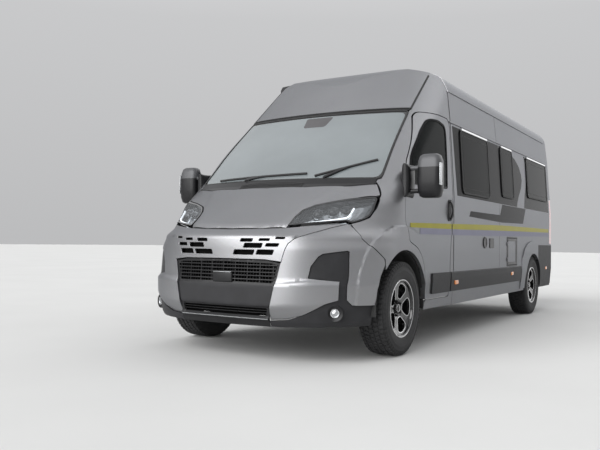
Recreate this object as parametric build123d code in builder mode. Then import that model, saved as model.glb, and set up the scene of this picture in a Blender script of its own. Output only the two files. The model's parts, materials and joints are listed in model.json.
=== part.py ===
from build123d import *
from math import cos, radians, sin, sqrt, tan
import os

os.makedirs("parts", exist_ok=True)

# The frame: millimetres, +Z up, the nose faces -Y, the vehicle's left is +X.
# The origin lies on the ground under the middle of the vehicle.
LENGTH = 5998
FRONT_OVERHANG = 948
WHEELBASE = 4035
HEIGHT = 2520
HALF_WIDTH = 1020
HALF_TRACK = 905

WALL = 50
GLASS = 8
SEAT_GAP = 0.3
DOOR_GAP = 7
DOOR_TAPER = 6
DOOR_PLANE_MARGIN = 22
FLARE = 12
SIDE_MARGIN = 2

# Heights of the body's section
SILL_Z = 315
LOW_CREASE_Z = 550
BELT_Z = 1296
DRIP_Z = 2000
GUTTER_Z = 2250
SHOULDER_Z = 2425

# Half widths of the body's section at those heights
SILL_X = 1000
DRIP_X = 975
GUTTER_X = 948
SHOULDER_X = 790

FLOOR_Z = 620
FLOOR_THICKNESS = 50

TYRE_RADIUS = 360
TYRE_WIDTH = 225
RIM_RADIUS = 214
WHEEL_Z = TYRE_RADIUS
FRONT_ARCH_RADIUS = 447
REAR_ARCH_RADIUS = 392


def at(distance):
    """The y of a place that lies this far behind the front bumper's foremost point."""
    return distance - LENGTH / 2


FRONT_AXLE_Y = at(FRONT_OVERHANG)
REAR_AXLE_Y = at(FRONT_OVERHANG + WHEELBASE)
REAR_SKIN_Y = at(LENGTH - 13)
REAR_TOP_Y = at(LENGTH - 60)

# Places along the body used by several pieces
CAB_END_D = 2060
REAR_WALL_D = LENGTH - 98
PAST_END_D = LENGTH + 102
PAST_SIDE_X = 1100

# Plan sections of the nose: height, the nose's middle as a distance, the radius of the front's bow
# and the radius of the corner that runs from the bow into the straight side
NOSE_ROWS = [
    (200, 30, 3800, 700),
    (420, 0, 3800, 680),
    (556, 0, 3800, 690),
    (600, 8, 3600, 700),
    (800, 8, 3000, 740),
    (890, 14, 2400, 800),
    (952, 100, 2200, 790),
    (1060, 250, 2200, 650),
    (1180, 420, 2200, 420),
    (1310, 610, 2240, 300),
    (1650, 987, 2600, 280),
    (2000, 1375, 2930, 370),
    (2600, 1975, 1960, 510),
]
ROOF_START_D = 2300
ROOF_MARGIN = 14
CAP_EDGE_D = 1790
CAP_EDGE_Z = 2395


def half_width(z):
    """The body's half width at a height, along the straight parts of its section."""
    levels = [(200, SILL_X - 4), (SILL_Z, SILL_X), (LOW_CREASE_Z, HALF_WIDTH), (BELT_Z, HALF_WIDTH),
              (DRIP_Z, DRIP_X), (GUTTER_Z, GUTTER_X), (2700, 900)]
    for (z_low, x_low), (z_high, x_high) in zip(levels, levels[1:]):
        if z <= z_high:
            return x_low + (x_high - x_low) * (z - z_low) / (z_high - z_low)
    return levels[-1][1]


def nose_form(inset):
    """The nose in plan sections, drawn in by an inset all round."""
    with BuildPart() as form:
        for z, middle, bow, corner in NOSE_ROWS:
            bow_radius = bow - inset
            corner_radius = corner - inset
            side_x = half_width(z) + SIDE_MARGIN - inset
            bow_centre = middle + bow
            reach = sqrt((bow_radius - corner_radius) ** 2 - (side_x - corner_radius) ** 2)
            share = bow_radius / (bow_radius - corner_radius)
            join = ((side_x - corner_radius) * share, at(bow_centre - reach * share))
            side = (side_x, at(bow_centre - reach))
            end_y = at(LENGTH + 200)
            with BuildSketch(Plane.XY.offset(z)):
                with BuildLine():
                    ThreePointArc((-join[0], join[1]), (0, at(middle) + inset), join)
                    TangentArc(side, join, tangent=(0, -1))
                    Line(side, (side_x, end_y))
                    Line((side_x, end_y), (-side_x, end_y))
                    Line((-side_x, end_y), (-side[0], side[1]))
                    TangentArc((-side[0], side[1]), (-join[0], join[1]), tangent=(0, -1))
                make_face()
        loft(ruled=True)
    return form.part


def section_form(inset, bottom):
    """The body's section across the vehicle, run along its length."""
    with BuildPart() as form:
        with BuildSketch(Plane.XZ.offset(-at(LENGTH + 150))):
            with BuildLine():
                gutter = (GUTTER_X - inset, GUTTER_Z)
                shoulder = (SHOULDER_X - inset, SHOULDER_Z - inset)
                Polyline((0, bottom), (SILL_X - 4 - inset, bottom), (SILL_X - inset, SILL_Z),
                         (HALF_WIDTH - inset, LOW_CREASE_Z), (HALF_WIDTH - inset, BELT_Z),
                         (DRIP_X - inset, DRIP_Z), gutter)
                TangentArc(gutter, shoulder, tangent=(GUTTER_X - DRIP_X, GUTTER_Z - DRIP_Z))
                ThreePointArc(shoulder, (0, HEIGHT - inset), (-shoulder[0], shoulder[1]))
                TangentArc((-gutter[0], gutter[1]), (-shoulder[0], shoulder[1]),
                           tangent=(DRIP_X - GUTTER_X, GUTTER_Z - DRIP_Z))
                Polyline((-gutter[0], gutter[1]), (-(DRIP_X - inset), DRIP_Z),
                         (-(HALF_WIDTH - inset), BELT_Z),
                         (-(HALF_WIDTH - inset), LOW_CREASE_Z), (-(SILL_X - inset), SILL_Z),
                         (-(SILL_X - 4 - inset), bottom), (0, bottom))
            make_face()
        extrude(amount=LENGTH + 400)
    return form.part


def profile_form(inset, bottom):
    """The body's outline from the side, run across its width."""
    with BuildPart() as form:
        with BuildSketch(Plane.YZ.offset(-HALF_WIDTH - 50)):
            with BuildLine():
                rear = REAR_SKIN_Y - inset
                top = REAR_TOP_Y - inset
                Polyline((at(-200), bottom), (rear, bottom), (rear, 1100), (top, 2230))
                edge = (at(CAP_EDGE_D) + inset, CAP_EDGE_Z - 0.6 * inset)
                roof = (at(ROOF_START_D), HEIGHT + ROOF_MARGIN - inset)
                rear_roof = (top - 190, HEIGHT + ROOF_MARGIN - inset)
                TangentArc((top, 2230), rear_roof, tangent=(REAR_TOP_Y - REAR_SKIN_Y, 1130))
                Line(rear_roof, roof)
                TangentArc(roof, edge, tangent=(-1, 0))
                front_z = edge[1] - 0.75 * (edge[0] - at(-200))
                Polyline(edge, (at(-200), front_z), (at(-200), bottom))
            make_face()
        extrude(amount=2 * HALF_WIDTH + 100)
    return form.part


def body_form(inset, bottom):
    """The whole body as a solid, drawn in by an inset."""
    with BuildPart() as form:
        add(nose_form(inset))
        add(section_form(inset, bottom), mode=Mode.INTERSECT)
        add(profile_form(inset, bottom), mode=Mode.INTERSECT)
    return form.part


def slab(points, side=1, depth=160, outward=DOOR_PLANE_MARGIN, shrink=0, taper=DOOR_TAPER, radius=0):
    """A side outline given as distance and height, cut inwards from outside the skin."""
    start = side * (HALF_WIDTH + outward)
    with BuildPart() as cutter:
        with BuildSketch(Plane.YZ.offset(start)) as outline:
            with BuildLine():
                Polyline([(at(d), z) for d, z in points], close=True)
            make_face()
            if radius:
                fillet(outline.vertices(), radius)
            if shrink:
                offset(amount=-shrink, mode=Mode.REPLACE)
        extrude(amount=-side * depth, taper=taper)
    return cutter.part


def block(x_range, d_range, z_range):
    """A plain box between limits, its length given as distances."""
    with BuildPart() as box:
        with BuildSketch(Plane.XY.offset(z_range[0])):
            with Locations(((x_range[0] + x_range[1]) / 2, at((d_range[0] + d_range[1]) / 2))):
                Rectangle(x_range[1] - x_range[0], d_range[1] - d_range[0])
        extrude(amount=z_range[1] - z_range[0])
    return box.part


def front_slab(points, depth_range, both=False, radius=0, shrink=0):
    """A front outline given as x and height, run rearwards between two distances."""
    with BuildPart() as cutter:
        with BuildSketch(Plane.XZ.offset(-at(depth_range[1]))) as outline:
            with BuildLine():
                Polyline(points, close=True)
            make_face()
            if radius:
                fillet(outline.vertices(), radius)
            if both:
                mirror(about=Plane.YZ)
            if shrink:
                offset(amount=-shrink, mode=Mode.REPLACE)
        extrude(amount=depth_range[1] - depth_range[0])
    return cutter.part


def plan_slab(points, z_range, shrink=0):
    """A plan outline given as x and distance, run upwards between two heights."""
    with BuildPart() as cutter:
        with BuildSketch(Plane.XY.offset(z_range[0])):
            with BuildLine():
                Polyline([(x, at(d)) for x, d in points], close=True)
            make_face()
            if shrink:
                offset(amount=-shrink, mode=Mode.REPLACE)
        extrude(amount=z_range[1] - z_range[0])
    return cutter.part


def x_cylinder(x_range, y, z, radius):
    """A cylinder that lies across the vehicle."""
    with BuildPart() as drum:
        with BuildSketch(Plane.YZ.offset(x_range[0])):
            with Locations((y, z)):
                Circle(radius)
        extrude(amount=x_range[1] - x_range[0])
    return drum.part


def save(part, name):
    """Label a finished piece and write it."""
    part.label = name
    export_step(part, f"parts/{name}.step")


# Outlines of the panels. Each pair is distance behind the bumper and height.
DOOR_SILL_Z = 392
CAB_DOOR = [(1370, DOOR_SILL_Z), (1960, DOOR_SILL_Z), (1975, 700), (2030, 1200), (2035, 1940),
            (1985, 1985), (1530, 1985), (1470, 1945), (1100, 1520), (960, 1300), (957, 1060), (1030, 868),
            (1100, 850), (1190, 820), (1270, 765), (1325, 685), (1358, 560)]
CAB_GLASS = [(1035, 1330), (1880, 1352), (1880, 1900), (1500, 1900), (1210, 1600)]
SLIDING_DOOR = [(2110, DOOR_SILL_Z), (3440, DOOR_SILL_Z), (3440, 2150), (2110, 2150)]
SIDE_WINDOWS = {
    "left": [(2290, 3140, 1330, 1930), (3600, 4080, 1380, 1930), (4720, 5760, 1440, 1930)],
    "right": [(3700, 4350, 1380, 1930), (4720, 5760, 1440, 1930)],
}
SLIDING_WINDOW = (2380, 3180, 1340, 1930)
SERVICE_DOOR = [(3800, 625), (4210, 625), (4210, 940), (3800, 940)]

REAR_DOOR_X = 905
REAR_DOOR_Z = (600, 2190)
REAR_WINDOW_Z = (1340, 1950)

# Outlines on the nose, its left half from the middle outwards: x and distance in plan for the
# bonnet, x and height from the front for the rest
BONNET_HALF = [(0, 60), (449, 125), (452, 277), (473, 348), (533, 422), (646, 497), (791, 585), (905, 684),
               (925, 715), (862, 782), (640, 672), (340, 598), (0, 572)]
LAMP = [(440, 955), (550, 974), (690, 988), (800, 1000), (826, 985), (868, 1004), (908, 1036), (928, 1110),
        (928, 1208), (400, 1208)]
GRILLE_HALF = [(0, 731), (359, 729), (442, 720), (484, 715), (490, 745), (507, 807), (522, 845), (557, 877),
               (622, 909), (730, 960), (812, 992), (812, 1020), (0, 1020)]
CENTRE_HALF = [(0, 300), (392, 300), (410, 400), (445, 556), (478, 707), (440, 712), (359, 721), (0, 723)]
BUMPER_TRIM = [(660, 606), (675, 689), (716, 758), (741, 778), (866, 801), (877, 793), (882, 627),
               (877, 457), (900, 419), (1060, 412), (1060, 190), (400, 190), (400, 300), (532, 313),
               (633, 348), (692, 382), (763, 430), (833, 457), (838, 586), (724, 598)]
SEAM = [(-60, 190), (-60, 1040), (430, 1040), (430, 960), (434, 884), (484, 831), (561, 771), (610, 735),
        (610, 190)]


def both_halves(half):
    """A closed outline from its left half, whose first and last points lie in the middle."""
    return half + [(-x, second) for x, second in reversed(half[1:-1])]


BONNET = both_halves(BONNET_HALF)
GRILLE_PANEL = both_halves(GRILLE_HALF)
CENTRE_PANEL = both_halves(CENTRE_HALF)

# Raised bands round the wheel arches, seen from the side
FRONT_FLARE = [(340, 380), (350, 573), (377, 647), (404, 733), (455, 820), (542, 897), (646, 949),
               (750, 988), (953, 1001), (1112, 980), (1223, 940), (1324, 855), (1380, 760), (1400, 640),
               (1400, 380)]
REAR_FLARE = [(4400, 340), (4410, 520), (4461, 711), (4550, 810), (4680, 872), (4810, 900), (4948, 907),
              (5080, 895), (5215, 862), (5955, 862), (5955, 340)]
WINDSCREEN = [(-868, 1352), (868, 1352), (812, 1985), (-812, 1985)]
CAP = [(-815, 2006), (815, 2006), (800, 2400), (770, 2600), (-770, 2600), (-800, 2400)]
COWL_X = 845
COWL_D = (400, 960)
COWL_LOW_Z = 1180
COWL_TOP_Z = 1348
BONNET_EDGE_Z = 952

proud = body_form(-FLARE, SILL_Z)
FLARE_REACH = 420
flares = []
for band in (FRONT_FLARE, REAR_FLARE):
    for side in (-1, 1):
        with BuildPart() as flare:
            add(proud)
            add(slab(band, side, depth=FLARE_REACH, taper=0), mode=Mode.INTERSECT)
        flares.append(flare.part)

with BuildPart() as flared:
    add(body_form(0, SILL_Z))
    for flare_part in flares:
        add(flare_part)
outer = flared.part
inner = body_form(WALL, 150)
glass_inner = body_form(GLASS, 150)

with BuildPart() as shell:
    add(outer)
    add(inner, mode=Mode.SUBTRACT)

with BuildPart() as skin:
    add(outer)
    add(glass_inner, mode=Mode.SUBTRACT)

ARCHES = [(FRONT_AXLE_Y, FRONT_ARCH_RADIUS), (REAR_AXLE_Y, REAR_ARCH_RADIUS)]
ARCH_X = (780, HALF_WIDTH + 20)
arches = []
for side in (-1, 1):
    for y, radius in ARCHES:
        arches.append(x_cylinder(sorted((side * ARCH_X[0], side * ARCH_X[1])), y, WHEEL_Z, radius))

bonnet_hole = plan_slab(BONNET, (BONNET_EDGE_Z, COWL_TOP_Z - 4))
LAMP_D = (-50, 720)
GRILLE_D = (-50, 300)
TRIM_D = (-50, 620)
lamp_holes = front_slab(LAMP, LAMP_D, both=True)
grille_hole = front_slab(GRILLE_PANEL, GRILLE_D)
centre_hole = front_slab(CENTRE_PANEL, GRILLE_D)
ACROSS = 2 * HALF_WIDTH + 200
seam_region = slab(SEAM, 1, depth=ACROSS, outward=100, taper=0)
SCREEN_D = (300, 1790)
windscreen_hole = front_slab(WINDSCREEN, SCREEN_D)
CAP_D = (1000, CAB_END_D - 10)
cap_region = front_slab(CAP, CAP_D)
cab_region = block((-PAST_SIDE_X, PAST_SIDE_X), (-100, CAB_END_D), (100, 2600))

# Shelves on the inner wings that carry the bonnet's rear corners
REST_D = (728, 768)
REST_Z = (1150, 1300)
REST_INNER_X = (848, 945)
REST_OUTER_X = (930, 1000)
REST_ROOT_HEIGHT = 65
BONNET_DEPTH = 42
bonnet_rests = []
for side in (-1, 1):
    inner_x = sorted((side * REST_INNER_X[0], side * REST_INNER_X[1]))
    outer_x = sorted((side * REST_OUTER_X[0], side * REST_OUTER_X[1]))
    with BuildPart() as rest_top:
        add(block(inner_x, REST_D, REST_Z))
        add(Pos(0, 0, -BONNET_DEPTH - SEAT_GAP) * outer, mode=Mode.INTERSECT)
    with BuildPart() as rest_root:
        add(block(outer_x, REST_D, (REST_Z[0], REST_Z[0] + REST_ROOT_HEIGHT)))
        add(glass_inner, mode=Mode.INTERSECT)
    bonnet_rests += [rest_top.part, rest_root.part]

with BuildPart() as front_shell:
    add(shell.part)
    add(cab_region, mode=Mode.INTERSECT)

# Front body: wings, A-pillars, door openings and cant rails
with BuildPart() as front_body:
    add(front_shell.part)
    for cut in [bonnet_hole, lamp_holes, seam_region, windscreen_hole, cap_region]:
        add(cut, mode=Mode.SUBTRACT)
    for side in (-1, 1):
        add(slab(CAB_DOOR, side, radius=18), mode=Mode.SUBTRACT)
    for arch in arches:
        add(arch, mode=Mode.SUBTRACT)
    add(block((-COWL_X, COWL_X), COWL_D, (COWL_LOW_Z, COWL_TOP_Z + 4)), mode=Mode.SUBTRACT)
    for rest in bonnet_rests:
        add(rest)
save(front_body.part, "front_body")

# Bonnet: its edges along the lamps are thin, so that they lift clear of them
THIN_EDGE_DEPTH = 5
THIN_EDGE_OUT = 20
THIN_EDGE_IN = 45
LAMP_EDGE = BONNET_HALF[2:9]
THIN_EDGE = ([(x + THIN_EDGE_OUT, d - THIN_EDGE_OUT) for x, d in LAMP_EDGE]
             + [(x - THIN_EDGE_IN, d + THIN_EDGE_IN) for x, d in reversed(LAMP_EDGE)])
thin_edges = []
for side in (-1, 1):
    with BuildPart() as thin_edge:
        add(Pos(0, 0, -THIN_EDGE_DEPTH) * outer)
        add(plan_slab([(side * x, d) for x, d in THIN_EDGE], (BONNET_EDGE_Z - 40, COWL_TOP_Z)),
            mode=Mode.INTERSECT)
    thin_edges.append(thin_edge.part)

with BuildPart() as bonnet:
    add(outer)
    add(plan_slab(BONNET, (BONNET_EDGE_Z + DOOR_GAP, COWL_TOP_Z - 8), shrink=DOOR_GAP), mode=Mode.INTERSECT)
    add(Pos(0, 0, -BONNET_DEPTH) * outer, mode=Mode.SUBTRACT)
    for thin_edge_part in thin_edges:
        add(thin_edge_part, mode=Mode.SUBTRACT)
save(bonnet.part, "bonnet")

# Cowl: the strip between the bonnet and the windscreen
with BuildPart() as cowl:
    add(shell.part)
    add(block((-COWL_X + SEAT_GAP, COWL_X - SEAT_GAP), COWL_D, (COWL_LOW_Z, COWL_TOP_Z + 4 - SEAT_GAP)),
        mode=Mode.INTERSECT)
    add(bonnet_hole, mode=Mode.SUBTRACT)
    add(lamp_holes, mode=Mode.SUBTRACT)
    add(block((-600, 600), (400, 1200), (1000, 1240)), mode=Mode.SUBTRACT)
save(cowl.part, "cowl")

# Windscreen
with BuildPart() as windscreen:
    add(skin.part)
    add(front_slab(WINDSCREEN, SCREEN_D, shrink=SEAT_GAP), mode=Mode.INTERSECT)
save(windscreen.part, "windscreen")

# Roof cap above the windscreen
with BuildPart() as roof_cap:
    add(front_shell.part)
    add(front_slab(CAP, (CAP_D[0], CAP_D[1] - SEAT_GAP), shrink=SEAT_GAP), mode=Mode.INTERSECT)
save(roof_cap.part, "roof_cap")

# Front bumper, with the slotted panel, the dark centre panel and the dark trim let into it
with BuildPart() as nose_shell:
    add(front_shell.part)
    add(slab([(d - SEAT_GAP, z) for d, z in SEAM], 1, depth=ACROSS, outward=100, taper=0),
        mode=Mode.INTERSECT)
    add(bonnet_hole, mode=Mode.SUBTRACT)
    add(lamp_holes, mode=Mode.SUBTRACT)
    for arch in arches:
        add(arch, mode=Mode.SUBTRACT)

trim_region = front_slab(BUMPER_TRIM, TRIM_D, both=True)
with BuildPart() as front_bumper:
    add(nose_shell.part)
    add(grille_hole, mode=Mode.SUBTRACT)
    add(centre_hole, mode=Mode.SUBTRACT)
    add(trim_region, mode=Mode.SUBTRACT)
save(front_bumper.part, "front_bumper")

# Slots of the upper grille panel: x, height, width, height of the slot
GRILLE_SLOTS = [
    (462, 884, 66, 16), (346, 871, 83, 18), (203, 867, 102, 24),
    (409, 834, 97, 24), (258, 829, 149, 34),
    (356, 782, 132, 36), (183, 780, 171, 36),
]
SLOT_LEAN = 0.35
with BuildPart() as grille_panel:
    add(nose_shell.part)
    add(front_slab(GRILLE_PANEL, GRILLE_D, shrink=SEAT_GAP), mode=Mode.INTERSECT)
    with BuildSketch(Plane.XZ.offset(-at(300))):
        for x, z, width, height in GRILLE_SLOTS:
            lean = SLOT_LEAN * height
            for side in (-1, 1):
                with BuildLine():
                    Polyline((side * (x - width / 2 - lean / 2), z - height / 2),
                             (side * (x + width / 2 - lean / 2), z - height / 2),
                             (side * (x + width / 2 + lean / 2), z + height / 2),
                             (side * (x - width / 2 + lean / 2), z + height / 2), close=True)
                make_face()
    extrude(amount=400, mode=Mode.SUBTRACT)
save(grille_panel.part, "grille_panel")

with BuildPart() as centre_grille:
    add(nose_shell.part)
    add(front_slab(CENTRE_PANEL, GRILLE_D, shrink=SEAT_GAP), mode=Mode.INTERSECT)
    with BuildSketch(Plane.XZ.offset(-at(300))):
        with Locations((0, 644)):
            with GridLocations(106, 30, 8, 4):
                Rectangle(98, 20)
        with Locations((0, 366)):
            Rectangle(740, 50)
    extrude(amount=400, mode=Mode.SUBTRACT)
save(centre_grille.part, "centre_grille")

FOG_X = 811
FOG_Z = 364
FOG_RADIUS = 34


def fog_socket(radius):
    """Both fog lamps' round places in the bumper trim."""
    with BuildPart() as sockets:
        with BuildSketch(Plane.XZ.offset(-at(420))):
            with Locations((FOG_X, FOG_Z), (-FOG_X, FOG_Z)):
                Circle(radius)
        extrude(amount=400)
    return sockets.part


with BuildPart() as bumper_trim:
    add(nose_shell.part)
    add(front_slab(BUMPER_TRIM, TRIM_D, both=True, shrink=SEAT_GAP), mode=Mode.INTERSECT)
    add(fog_socket(FOG_RADIUS + SEAT_GAP), mode=Mode.SUBTRACT)
save(bumper_trim.part, "bumper_trim")

# Headlamps and fog lamps
with BuildPart() as front_lamps:
    add(front_shell.part)
    add(front_slab(LAMP, LAMP_D, both=True, shrink=SEAT_GAP), mode=Mode.INTERSECT)
    add(bonnet_hole, mode=Mode.SUBTRACT)
with BuildPart() as fog_lamps:
    add(nose_shell.part)
    add(fog_socket(FOG_RADIUS), mode=Mode.INTERSECT)
with BuildPart() as lamps:
    add(front_lamps.part)
    add(fog_lamps.part)
save(lamps.part, "front_lamps")

# Cab doors with their glass and mirrors
SIDE_NAMES = {1: "left", -1: "right"}
MOULDING_Z = (438, 610)
MOULDING_DEPTH = 14


def moulding(side, d_range, bite):
    """A length of the dark lower side moulding; bite is how far it reaches into the skin."""
    low, high = MOULDING_Z
    low_x = half_width(low)
    with BuildPart() as strip:
        with BuildSketch(Plane.XZ.offset(-at(d_range[1]))):
            with BuildLine():
                Polyline((side * (low_x - bite), low), (side * (low_x + MOULDING_DEPTH), low),
                         (side * (HALF_WIDTH + MOULDING_DEPTH), LOW_CREASE_Z),
                         (side * (HALF_WIDTH + MOULDING_DEPTH), high - 8),
                         (side * (HALF_WIDTH + MOULDING_DEPTH / 2), high),
                         (side * (HALF_WIDTH - bite), high),
                         (side * (HALF_WIDTH - bite), LOW_CREASE_Z), close=True)
            make_face()
        extrude(amount=d_range[1] - d_range[0])
    return strip.part


DOOR_MOULDING_D = (1520, 1950)
MIRROR_D = (968, 1090)
MIRROR_X = (1095, 1290)
MIRROR_Z = (1230, 1530)
for side, name in SIDE_NAMES.items():
    with BuildPart() as door:
        add(shell.part)
        add(slab(CAB_DOOR, side, shrink=DOOR_GAP, radius=18), mode=Mode.INTERSECT)
        add(slab(CAB_GLASS, side, taper=0, radius=45), mode=Mode.SUBTRACT)
        add(moulding(side, DOOR_MOULDING_D, 1))
    save(door.part, f"cab_door_{name}")
    with BuildPart() as glass:
        add(skin.part)
        add(slab(CAB_GLASS, side, taper=0, radius=45, shrink=SEAT_GAP), mode=Mode.INTERSECT)
    save(glass.part, f"cab_glass_{name}")
    with BuildPart() as mirror_body:
        with BuildSketch(Plane.XY.offset(MIRROR_Z[0])) as head:
            with Locations((side * sum(MIRROR_X) / 2, at(sum(MIRROR_D) / 2))):
                RectangleRounded(MIRROR_X[1] - MIRROR_X[0], MIRROR_D[1] - MIRROR_D[0], 35)
        extrude(amount=MIRROR_Z[1] - MIRROR_Z[0])
        for arm_z in (1262, 1440):
            with BuildSketch(Plane.YZ.offset(side * (HALF_WIDTH + SEAT_GAP))):
                with Locations((at(MIRROR_D[0] + 40), arm_z)):
                    RectangleRounded(52, 40, 12)
            extrude(amount=side * (MIRROR_X[0] + 20 - HALF_WIDTH))
        with BuildSketch(Plane.YZ.offset(side * (HALF_WIDTH + SEAT_GAP))):
            with BuildLine():
                Polyline((at(972), 1210), (at(1060), 1210), (at(1050), 1290), (at(1040), 1470),
                         (at(1010), 1470),
                         (at(972), 1290), close=True)
            make_face()
        extrude(amount=side * 30)
    save(mirror_body.part, f"mirror_{name}")

# Body sides behind the cab, each with its windows cut
WINDOW_PROUD = 9
WINDOW_DEPTH = 30
SKIN_LEAN = (HALF_WIDTH - DRIP_X) / (DRIP_Z - BELT_Z)


def window_plate(side, limits, shrink, depth, proud):
    """A window's outline on the leaning side, run inwards from proud of the skin."""
    front, rear, low, high = limits
    mid_z = (low + high) / 2
    origin = (side * half_width(mid_z), at((front + rear) / 2), mid_z)
    face = Plane(origin=origin, x_dir=(0, side, 0), z_dir=(side, 0, SKIN_LEAN))
    with BuildPart() as plate:
        with BuildSketch(face.offset(proud)):
            RectangleRounded(rear - front - 2 * shrink, high - low - 2 * shrink, 60 - shrink)
        extrude(amount=-depth - proud)
    return plate.part


SERVICE_HINGE_X = HALF_WIDTH + 8
SERVICE_HINGE_D = SERVICE_DOOR[0][0] - 3
SERVICE_HINGES_Z = (700, 870)
REAR_HINGE_X = REAR_DOOR_X + 4
REAR_HINGE_D = LENGTH - 5
REAR_HINGES_Z = (1000, 1800)
HINGE_LENGTH = 34


def hinge_knuckle(x, d, radius, z_range, arm_x, arm_d):
    """One leaf of an upright hinge: a barrel and the arm that carries it."""
    with BuildPart() as leaf:
        with BuildSketch(Plane.XY.offset(z_range[0])):
            with Locations((x, at(d))):
                Circle(radius)
            with Locations((sum(arm_x) / 2, at(sum(arm_d) / 2))):
                Rectangle(abs(arm_x[1] - arm_x[0]), arm_d[1] - arm_d[0])
        extrude(amount=z_range[1] - z_range[0])
    return leaf.part


def rear_hinge(side, z, on_door):
    """A rear door's hinge leaf at a height, on the door or on the body side."""
    skin_d = LENGTH - 13 - (60 - 13) * max(0, z - 1100) / (2230 - 1100)
    outer_x = REAR_HINGE_X - 24 if on_door else REAR_HINGE_X + 15
    z_range = (z - HINGE_LENGTH, z - SEAT_GAP) if on_door else (z, z + HINGE_LENGTH)
    return hinge_knuckle(side * REAR_HINGE_X, REAR_HINGE_D, 5, z_range,
                         (side * REAR_HINGE_X, side * outer_x), (skin_d - 8, REAR_HINGE_D))


rear_hole = block((-REAR_DOOR_X - DOOR_GAP, REAR_DOOR_X + DOOR_GAP), (REAR_WALL_D, PAST_END_D),
                  (REAR_DOOR_Z[0] - DOOR_GAP, REAR_DOOR_Z[1] + DOOR_GAP))
REAR_TRIM_D = 5215
REAR_TRIM_Z = 860


def rear_trim_slab(gap):
    """The region of the dark rear corner trim and bumper, drawn in by a gap."""
    front, top = REAR_TRIM_D + gap, REAR_TRIM_Z - gap
    return slab([(front, top), (PAST_END_D, top), (PAST_END_D, 150), (front, 150)], 1, depth=ACROSS,
                outward=100, taper=0)


rear_trim_region = rear_trim_slab(0)
TAIL_LAMP_X = (925, PAST_SIDE_X)
TAIL_LAMP_Z = (880, 1480)
SLIDE_RAIL_Z = 1200

for side, name in SIDE_NAMES.items():
    x_range = (SEAT_GAP / 2, PAST_SIDE_X) if side > 0 else (-PAST_SIDE_X, -SEAT_GAP / 2)
    lamp_x = TAIL_LAMP_X if side > 0 else (-TAIL_LAMP_X[1], -TAIL_LAMP_X[0])
    with BuildPart() as panel:
        add(shell.part)
        add(block(x_range, (CAB_END_D + SEAT_GAP, PAST_END_D), (100, GUTTER_Z)), mode=Mode.INTERSECT)
        add(rear_hole, mode=Mode.SUBTRACT)
        add(rear_trim_region, mode=Mode.SUBTRACT)
        add(block(lamp_x, (REAR_WALL_D, PAST_END_D), TAIL_LAMP_Z), mode=Mode.SUBTRACT)
        for hinge_z in REAR_HINGES_Z:
            add(rear_hinge(side, hinge_z, False))
        for arch in arches:
            add(arch, mode=Mode.SUBTRACT)
        for limits in SIDE_WINDOWS[name]:
            add(window_plate(side, limits, 0, 100, 40), mode=Mode.SUBTRACT)
        if side > 0:
            add(slab(SERVICE_DOOR, side, radius=12), mode=Mode.SUBTRACT)
            for hinge_z in SERVICE_HINGES_Z:
                add(hinge_knuckle(SERVICE_HINGE_X, SERVICE_HINGE_D, 4, (hinge_z, hinge_z + 20),
                                  (SERVICE_HINGE_X - 12, SERVICE_HINGE_X),
                                  (SERVICE_HINGE_D - 16, SERVICE_HINGE_D)))
        else:
            add(slab(SLIDING_DOOR, side, radius=40), mode=Mode.SUBTRACT)
            add(block((-HALF_WIDTH - 12, -HALF_WIDTH + 1), (3460, 5550),
                      (SLIDE_RAIL_Z - 16, SLIDE_RAIL_Z + 16)))

    save(panel.part, f"side_panel_{name}")

with BuildPart() as sliding_door:
    add(shell.part)
    add(slab(SLIDING_DOOR, -1, shrink=DOOR_GAP, radius=40), mode=Mode.INTERSECT)
    add(window_plate(-1, SLIDING_WINDOW, 0, 100, 40), mode=Mode.SUBTRACT)
    add(moulding(-1, (2122, 3428), 1))
    for runner_d in (2250, 3250):
        add(block((-HALF_WIDTH + WALL - 2, -HALF_WIDTH + WALL + 20), (runner_d, runner_d + 60),
                  (FLOOR_Z + SEAT_GAP, FLOOR_Z + 12)))
save(sliding_door.part, "sliding_door")

with BuildPart() as side_windows:
    for side, name in SIDE_NAMES.items():
        for limits in SIDE_WINDOWS[name]:
            add(window_plate(side, limits, SEAT_GAP, WINDOW_DEPTH, WINDOW_PROUD))
    add(window_plate(-1, SLIDING_WINDOW, SEAT_GAP, WINDOW_DEPTH, WINDOW_PROUD))
save(side_windows.part, "side_windows")

with BuildPart() as mouldings:
    add(moulding(1, (1968, 4380), -SEAT_GAP))
    add(moulding(-1, (1968, 2100), -SEAT_GAP))
    add(moulding(-1, (3452, 4380), -SEAT_GAP))
save(mouldings.part, "side_mouldings")

with BuildPart() as service_door:
    add(shell.part)
    add(slab(SERVICE_DOOR, 1, shrink=DOOR_GAP, radius=12), mode=Mode.INTERSECT)
    for hinge_z in SERVICE_HINGES_Z:
        leaf_z = (hinge_z - 20, hinge_z - SEAT_GAP)
        add(hinge_knuckle(SERVICE_HINGE_X, SERVICE_HINGE_D, 4, leaf_z,
                          (HALF_WIDTH + 1, SERVICE_HINGE_X), (SERVICE_HINGE_D, SERVICE_HINGE_D + 26)))
        add(block((HALF_WIDTH - 8, HALF_WIDTH + 2), (SERVICE_HINGE_D + 14, SERVICE_HINGE_D + 26), leaf_z))
save(service_door.part, "service_door")

# Roof behind the cap
with BuildPart() as roof_panel:
    add(shell.part)
    add(block((-PAST_SIDE_X, PAST_SIDE_X), (CAB_END_D + SEAT_GAP, PAST_END_D), (GUTTER_Z + SEAT_GAP, 2700)),
        mode=Mode.INTERSECT)
save(roof_panel.part, "roof_panel")

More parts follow.
